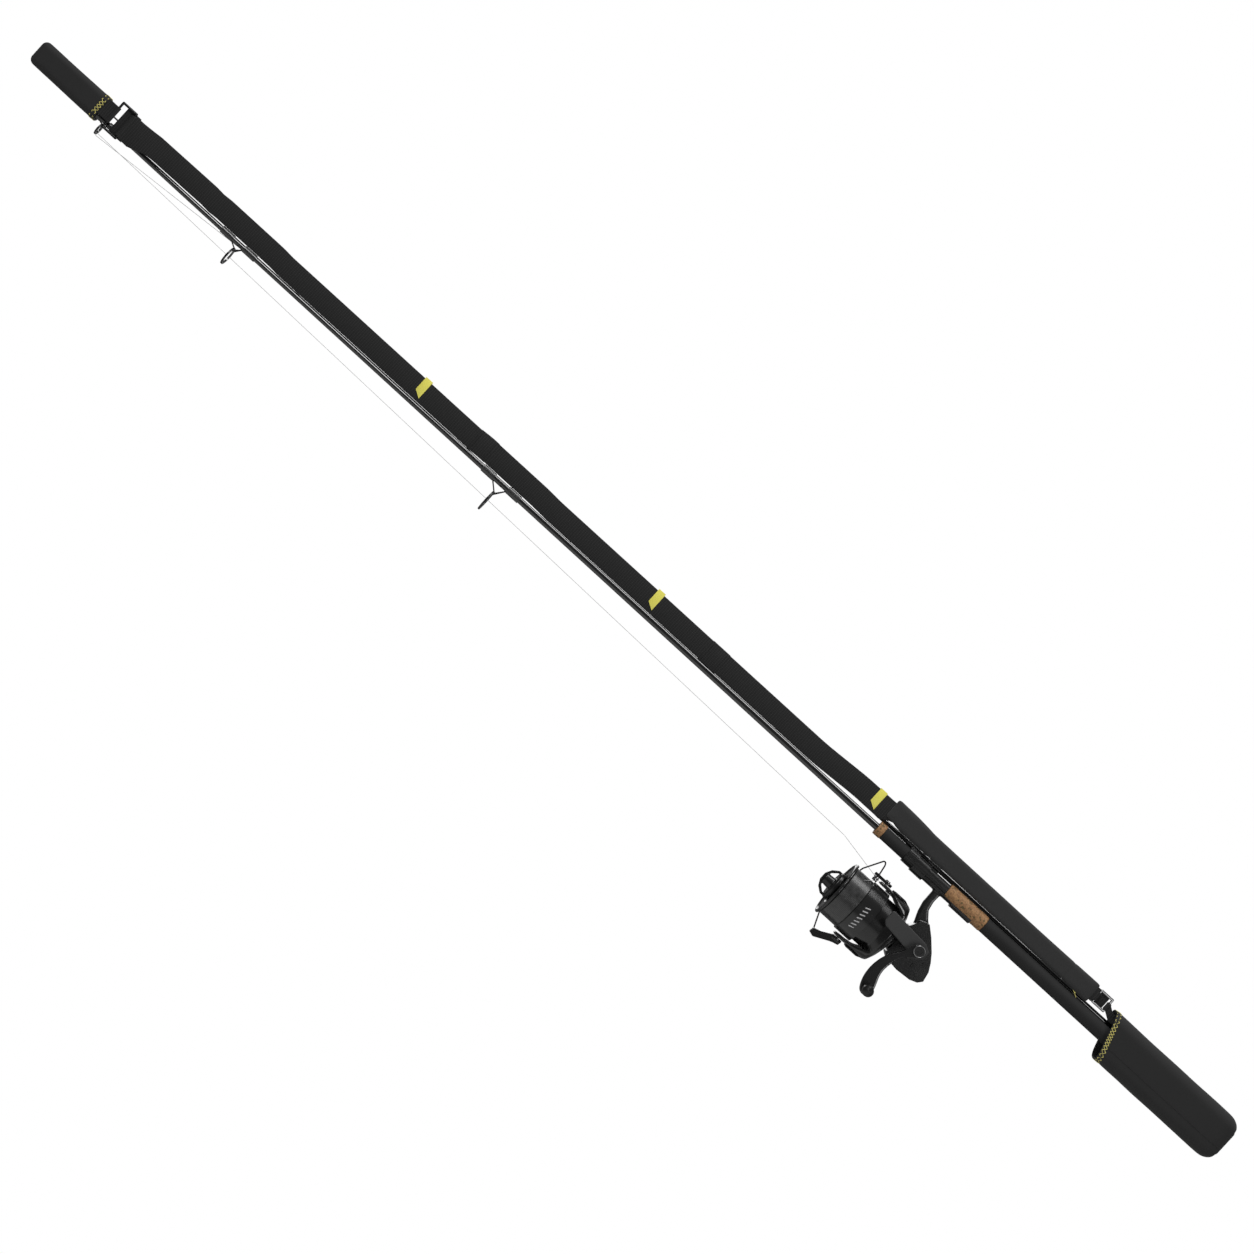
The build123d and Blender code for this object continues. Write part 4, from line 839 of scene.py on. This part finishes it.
for number, join_x in enumerate(JOINS_X, 1):
    join_bm = ribbon("elastic_strap", join_x, join_x + JOIN_LENGTH, 13 * MM, 0.45 * MM)
    bmesh.ops.bevel(join_bm, geom=join_bm.edges[:], offset=0.3 * MM, segments=2, profile=0.5,
                    affect="EDGES", material=-1)
    settle(join_bm)
    join = finish_piece(f"strap_join_{number}", join_bm, "webbing")
    follow_strap(join)
    sewing = bmesh.new()
    for x in (join_x + SEW_INSET, join_x + JOIN_LENGTH - SEW_INSET):
        z0, z1 = edges_at(strap_tree, x, SEW_PROBE_Y)
        front = faces_at(strap_tree, x, (z0 + z1) / 2)[0] - 0.6 * MM
        for z in spaced(z0 + 2 * MM, z1 - 2 * MM, SEW_PITCH)[:-1]:
            rod_between(sewing, Vector((x, front, z)), Vector((x, front, z + SEW_LENGTH)), SEW_R)
    settle(sewing)
    stitches = finish_piece(f"strap_join_{number}_sewing", sewing, "dark_stitch")
    follow_strap(stitches)

# The three tags are one node, so they are copied together, and their edges are softened.
tag_bm = bmesh.new()
tag_bm.from_mesh(frame["nodes"]["strap_tags"].data)
bmesh.ops.remove_doubles(tag_bm, verts=tag_bm.verts, dist=1e-6)
bmesh.ops.dissolve_limit(tag_bm, angle_limit=math.radians(1), verts=tag_bm.verts, edges=tag_bm.edges)
bmesh.ops.bevel(tag_bm, geom=tag_bm.edges[:], offset=0.14 * MM, segments=2, profile=0.5,
                affect="EDGES", material=-1)
settle(tag_bm)
tags = finish_piece("folded_tags", tag_bm, "tag")
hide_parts("strap_tags")
follow_strap(tags)
print("tags:", len(tags.data.polygons), "faces")

# %% [markdown]
# ## The padded sleeve
# The sleeve at the handle is foam in a knitted cover, sewn flat at both ends. Real padding swells
# between its seams, so the cover is inflated by a short cloth simulation: the mesh is remeshed to
# even squares, pressure pushes it out, and a cap keeps it in its place. Seams are pressed in
# afterwards, because remeshing would wipe them out.

# %% The sleeve
PAD_VOXEL = 1.8 * MM
PAD_CAP = 0.8 * MM
PAD_END_GAP = 0.6 * MM
PAD_SHRINK = 0.5 * MM
PAD_SEAM_X = pad_high.x - 39 * MM
PAD_SEAM_HALF = 1.1 * MM
PAD_SEAM_DEPTH = 0.9 * MM
PAD_MIDDLE = 26.6 * MM
PAD_UNDERSIDE = 13.2 * MM
PAD_TOPSIDE = 38.8 * MM
PRESSURE = 4.0
CLOTH_FRAMES = 12

pad_bm = ribbon("strap_pad", pad_low.x + PAD_END_GAP, pad_high.x - PAD_END_GAP, STRAP_STEP, -PAD_SHRINK)
for v in pad_bm.verts:
    if v.co.x > pad_low.x + 4 * MM:
        v.co.z = min(v.co.z, PAD_UNDERSIDE) if v.co.z < PAD_MIDDLE else max(v.co.z, PAD_TOPSIDE)
pad_edges = [e for e in pad_bm.edges if abs(e.verts[0].co.x - e.verts[1].co.x) > 1 * MM
             or all(min(abs(v.co.x - pad_low.x), abs(v.co.x - pad_high.x)) < 1 * MM for v in e.verts)]
bmesh.ops.bevel(pad_bm, geom=pad_edges, offset=2.2 * MM, segments=4, profile=0.5,
                affect="EDGES", material=-1)
bmesh.ops.recalc_face_normals(pad_bm, faces=pad_bm.faces)
sleeve = finish_piece("padded_sleeve", pad_bm, "pad")
grid = sleeve.modifiers.new("grid", "REMESH")
grid.mode = "VOXEL"
grid.voxel_size = PAD_VOXEL
bake(sleeve)
flat_places = [v.co.copy() for v in sleeve.data.vertices]

swell = sleeve.modifiers.new("swell", "CLOTH")
swell.settings.use_pressure = True
swell.settings.uniform_pressure_force = PRESSURE
swell.settings.effector_weights.gravity = 0.0
swell.settings.quality = 5
for step in range(1, CLOTH_FRAMES + 1):
    bpy.context.scene.frame_set(step)
bake(sleeve)
bpy.context.scene.frame_set(1)
for v, flat in zip(sleeve.data.vertices, flat_places):
    moved = v.co - flat
    if moved.length > PAD_CAP:
        v.co = flat + moved.normalized() * PAD_CAP
for v in sleeve.data.vertices:
    near_seam = math.exp(-((v.co.x - PAD_SEAM_X) / PAD_SEAM_HALF) ** 2)
    v.co -= v.normal * PAD_SEAM_DEPTH * near_seam
smoother = sleeve.modifiers.new("round_off", "SUBSURF")
smoother.levels = smoother.render_levels = 1
bake(sleeve, math.radians(60))
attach(sleeve, "rod_and_housing")
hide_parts("strap_pad")
print("sleeve:", len(sleeve.data.polygons), "faces")

# %% [markdown]
# Behind each buckle the spare end of the webbing lies flat, so the buckle's window isn't empty.
# A few loose ends of the yellow sewing thread hang under the sleeve.

# %% Tails behind the buckles, and loose thread
def webbing_tail(name, low, high, body):
    """A short flat end of webbing that lies behind a buckle."""
    bm = bmesh.new()
    bmesh.ops.create_cube(bm, size=1.0, matrix=Matrix.LocRotScale((low + high) / 2, None, high - low))
    bmesh.ops.bevel(bm, geom=bm.edges[:], offset=0.5 * MM, segments=3, profile=0.5,
                    affect="EDGES", material=-1)
    return finish_piece(name, bm, "webbing", body)


TAIL_LAP = 4 * MM
TAIL_T = 1.4 * MM
TAIL_GAP = 0.5 * MM
THREAD_R = 0.45 * MM
buckle_low, buckle_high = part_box("bottom_buckle")
tail_y = buckle_high.y + TAIL_GAP
tail = webbing_tail("strap_tail_low", Vector((strap_x1 - TAIL_LAP, tail_y, buckle_low.z + 1.5 * MM)),
                    Vector((buckle_high.x - 4.5 * MM, tail_y + TAIL_T, buckle_high.z - 1.0 * MM)),
                    "rod_and_housing")
buckle_low, buckle_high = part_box("top_buckle")
tail_y = buckle_high.y + TAIL_GAP
top_tail = webbing_tail("strap_tail_top", Vector((buckle_low.x + 9 * MM, tail_y, buckle_low.z + 2.0 * MM)),
                        Vector((strap_x0 + TAIL_LAP, tail_y + TAIL_T, buckle_high.z - 2.0 * MM)),
                        "tip_cover_set")

thread_bm = bmesh.new()
KNOT = Vector((pad_high.x - 17 * MM, -2 * MM, PAD_UNDERSIDE - 1.2 * MM))
for reach in (Vector((-5.0, -0.5, 2.4)), Vector((4.6, 0.3, -2.6)), Vector((-1.4, -0.4, 3.6))):
    rod_between(thread_bm, KNOT, KNOT + reach * MM, THREAD_R)
loose_ends = finish_piece("loose_thread_ends", thread_bm, "stitch", "rod_and_housing")
print("tails and thread:", len(tail.data.polygons), len(top_tail.data.polygons),
      len(loose_ends.data.polygons), "faces")

# %% [markdown]
# ## Cast parts of the reel
# The housing, rotor and arms are cast, so every corner of the real parts is softened, and that is
# what catches the light. A copy of each CAD part is remeshed into small cubes and then smoothed
# a few rounds, which rounds outer edges and fills inner corners in one go.

# %% Cast copies
SOFT_SHARP = math.radians(60)


def cast(node_name, name, material, voxel, rounds):
    """A softened copy of a CAD node. rounds says how many times it is smoothed."""
    bm = bmesh.new()
    bm.from_mesh(frame["nodes"][node_name].data)
    bmesh.ops.remove_doubles(bm, verts=bm.verts, dist=1e-6)
    body = body_of(frame["nodes"][node_name])[0]
    piece = finish_piece(name, bm, material)
    grid = piece.modifiers.new("grid", "REMESH")
    grid.mode = "VOXEL"
    grid.voxel_size = voxel
    soften = piece.modifiers.new("soften", "SMOOTH")
    soften.factor = 0.5
    soften.iterations = rounds
    bake(piece, SOFT_SHARP)
    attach(piece, body)
    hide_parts(node_name)
    return piece


CASTINGS = [
    ("reel_body", "cast_housing", "housing", 0.8 * MM, 16),
    ("rotor", "cast_rotor", "housing", 0.8 * MM, 10),
    ("handle_arm", "forged_crank_arm", "crank_alloy", 0.6 * MM, 22),
    ("side_guard", "moulded_guard", "guard", 0.6 * MM, 8),
    ("bail_lever", "cast_bail_lever", "housing", 0.5 * MM, 12),
    ("bail_arm", "cast_bail_arm", "housing", 0.5 * MM, 4),
    ("rear_cover", "moulded_tail", "housing", 0.7 * MM, 12),
    ("rotor_arm_covers", "leaf_covers", "dark_alloy", 0.4 * MM, 8),
    ("drag_knob", "moulded_drag_knob", "dark_alloy", 0.45 * MM, 3),
    ("tip_cover_loop", "sewn_tip_loop", "webbing", 0.5 * MM, 2),
    ("butt_cover_loop", "sewn_butt_loop", "webbing", 0.5 * MM, 2),
]
for node_name, name, material, voxel, rounds in CASTINGS:
    made = cast(node_name, name, material, voxel, rounds)
    print(name, len(made.data.polygons), "faces")

# %% [markdown]
# ## Small details of the reel
# The spool's front edge is a polished bead with one raised lug, where the line clip sits. Its
# skirt carries a row of plain slanting bars. The crank's screw cap has a bright ring. Each is
# spun or laid on the CAD surface, so it turns with the body under it.

# %% Spool bead, lug and skirt bars
spool_low, spool_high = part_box("spool")
REEL_AXIS = Vector((0, 0, (spool_low.z + spool_high.z) / 2))
LIP_RADIUS = (spool_high.z - spool_low.z) / 2
BEAD_R = 1.7 * MM


def ring_of(bm, centre, axis, radius, thickness, sides=10, steps=72):
    """A closed round ring, spun about an axis through centre."""
    across = Vector((0, 0, 1)) if abs(axis.z) < 0.5 else Vector((1, 0, 0))
    start = bmesh.ops.create_circle(bm, cap_ends=False, segments=sides, radius=thickness)["verts"]
    turn = Matrix((axis, across, axis.cross(across))).transposed().to_4x4()
    bmesh.ops.transform(bm, matrix=Matrix.Translation(centre + across * radius) @ turn, verts=start)
    edges = list({e for v in start for e in v.link_edges})
    bmesh.ops.spin(bm, geom=start + edges, cent=centre, axis=axis, angle=2 * math.pi, steps=steps,
                   use_merge=True, use_duplicate=False)


bead_bm = bmesh.new()
bead_centre = Vector((spool_low.x + BEAD_R + 0.3 * MM, 0, REEL_AXIS.z))
ring_of(bead_bm, bead_centre, Vector((1, 0, 0)), LIP_RADIUS - BEAD_R + 0.3 * MM, BEAD_R)
lug_place = bead_centre + Vector((0.4 * MM, 0, LIP_RADIUS - 1.4 * MM))
bmesh.ops.create_uvsphere(bead_bm, u_segments=20, v_segments=12, radius=1.0,
                          matrix=Matrix.LocRotScale(lug_place, None, Vector((2.6, 5.5, 1.9)) * MM))
bmesh.ops.remove_doubles(bead_bm, verts=bead_bm.verts, dist=1e-6)
bmesh.ops.recalc_face_normals(bead_bm, faces=bead_bm.faces)
bead = finish_piece("spool_bead", bead_bm, "spool_alloy", "spool", math.radians(60))

spool_tree = surface(frame["nodes"]["spool"])
bars = bmesh.new()
BAR_ANGLES = (-38, -30, -22, -14, -6, 2, 10)
BAR_LEAN = 4.0
BAR_R = 0.75 * MM
BAR_X = (spool_high.x - 15 * MM, spool_high.x - 9 * MM)


def on_spool(x, degrees):
    """A point on the spool's skirt at an angle from the side of the crank."""
    out = Vector((0, -math.cos(math.radians(degrees)), math.sin(math.radians(degrees))))
    return spool_tree.ray_cast(REEL_AXIS + Vector((x, 0, 0)) + out * 0.08, -out)[0]


for degrees in BAR_ANGLES:
    start, end = on_spool(BAR_X[0], degrees), on_spool(BAR_X[1], degrees + BAR_LEAN)
    rod_between(bars, start, end, BAR_R, 8)
skirt_bars = finish_piece("skirt_bars", bars, "mark", "spool")
print("bead", len(bead.data.polygons), "bars", len(skirt_bars.data.polygons), "faces")

# %% Ring on the crank's cap
cap_low, cap_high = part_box("handle_cap")
cap_bm = bmesh.new()
cap_centre = Vector(((cap_low.x + cap_high.x) / 2, cap_low.y + 0.2 * MM, (cap_low.z + cap_high.z) / 2))
ring_of(cap_bm, cap_centre, Vector((0, 1, 0)), (cap_high.x - cap_low.x) / 2 - 1.0 * MM, 0.55 * MM, 8, 48)
bmesh.ops.recalc_face_normals(cap_bm, faces=cap_bm.faces)
cap_ring = finish_piece("cap_ring", cap_bm, "steel", "crank")
print("cap ring:", len(cap_ring.data.polygons), "faces")
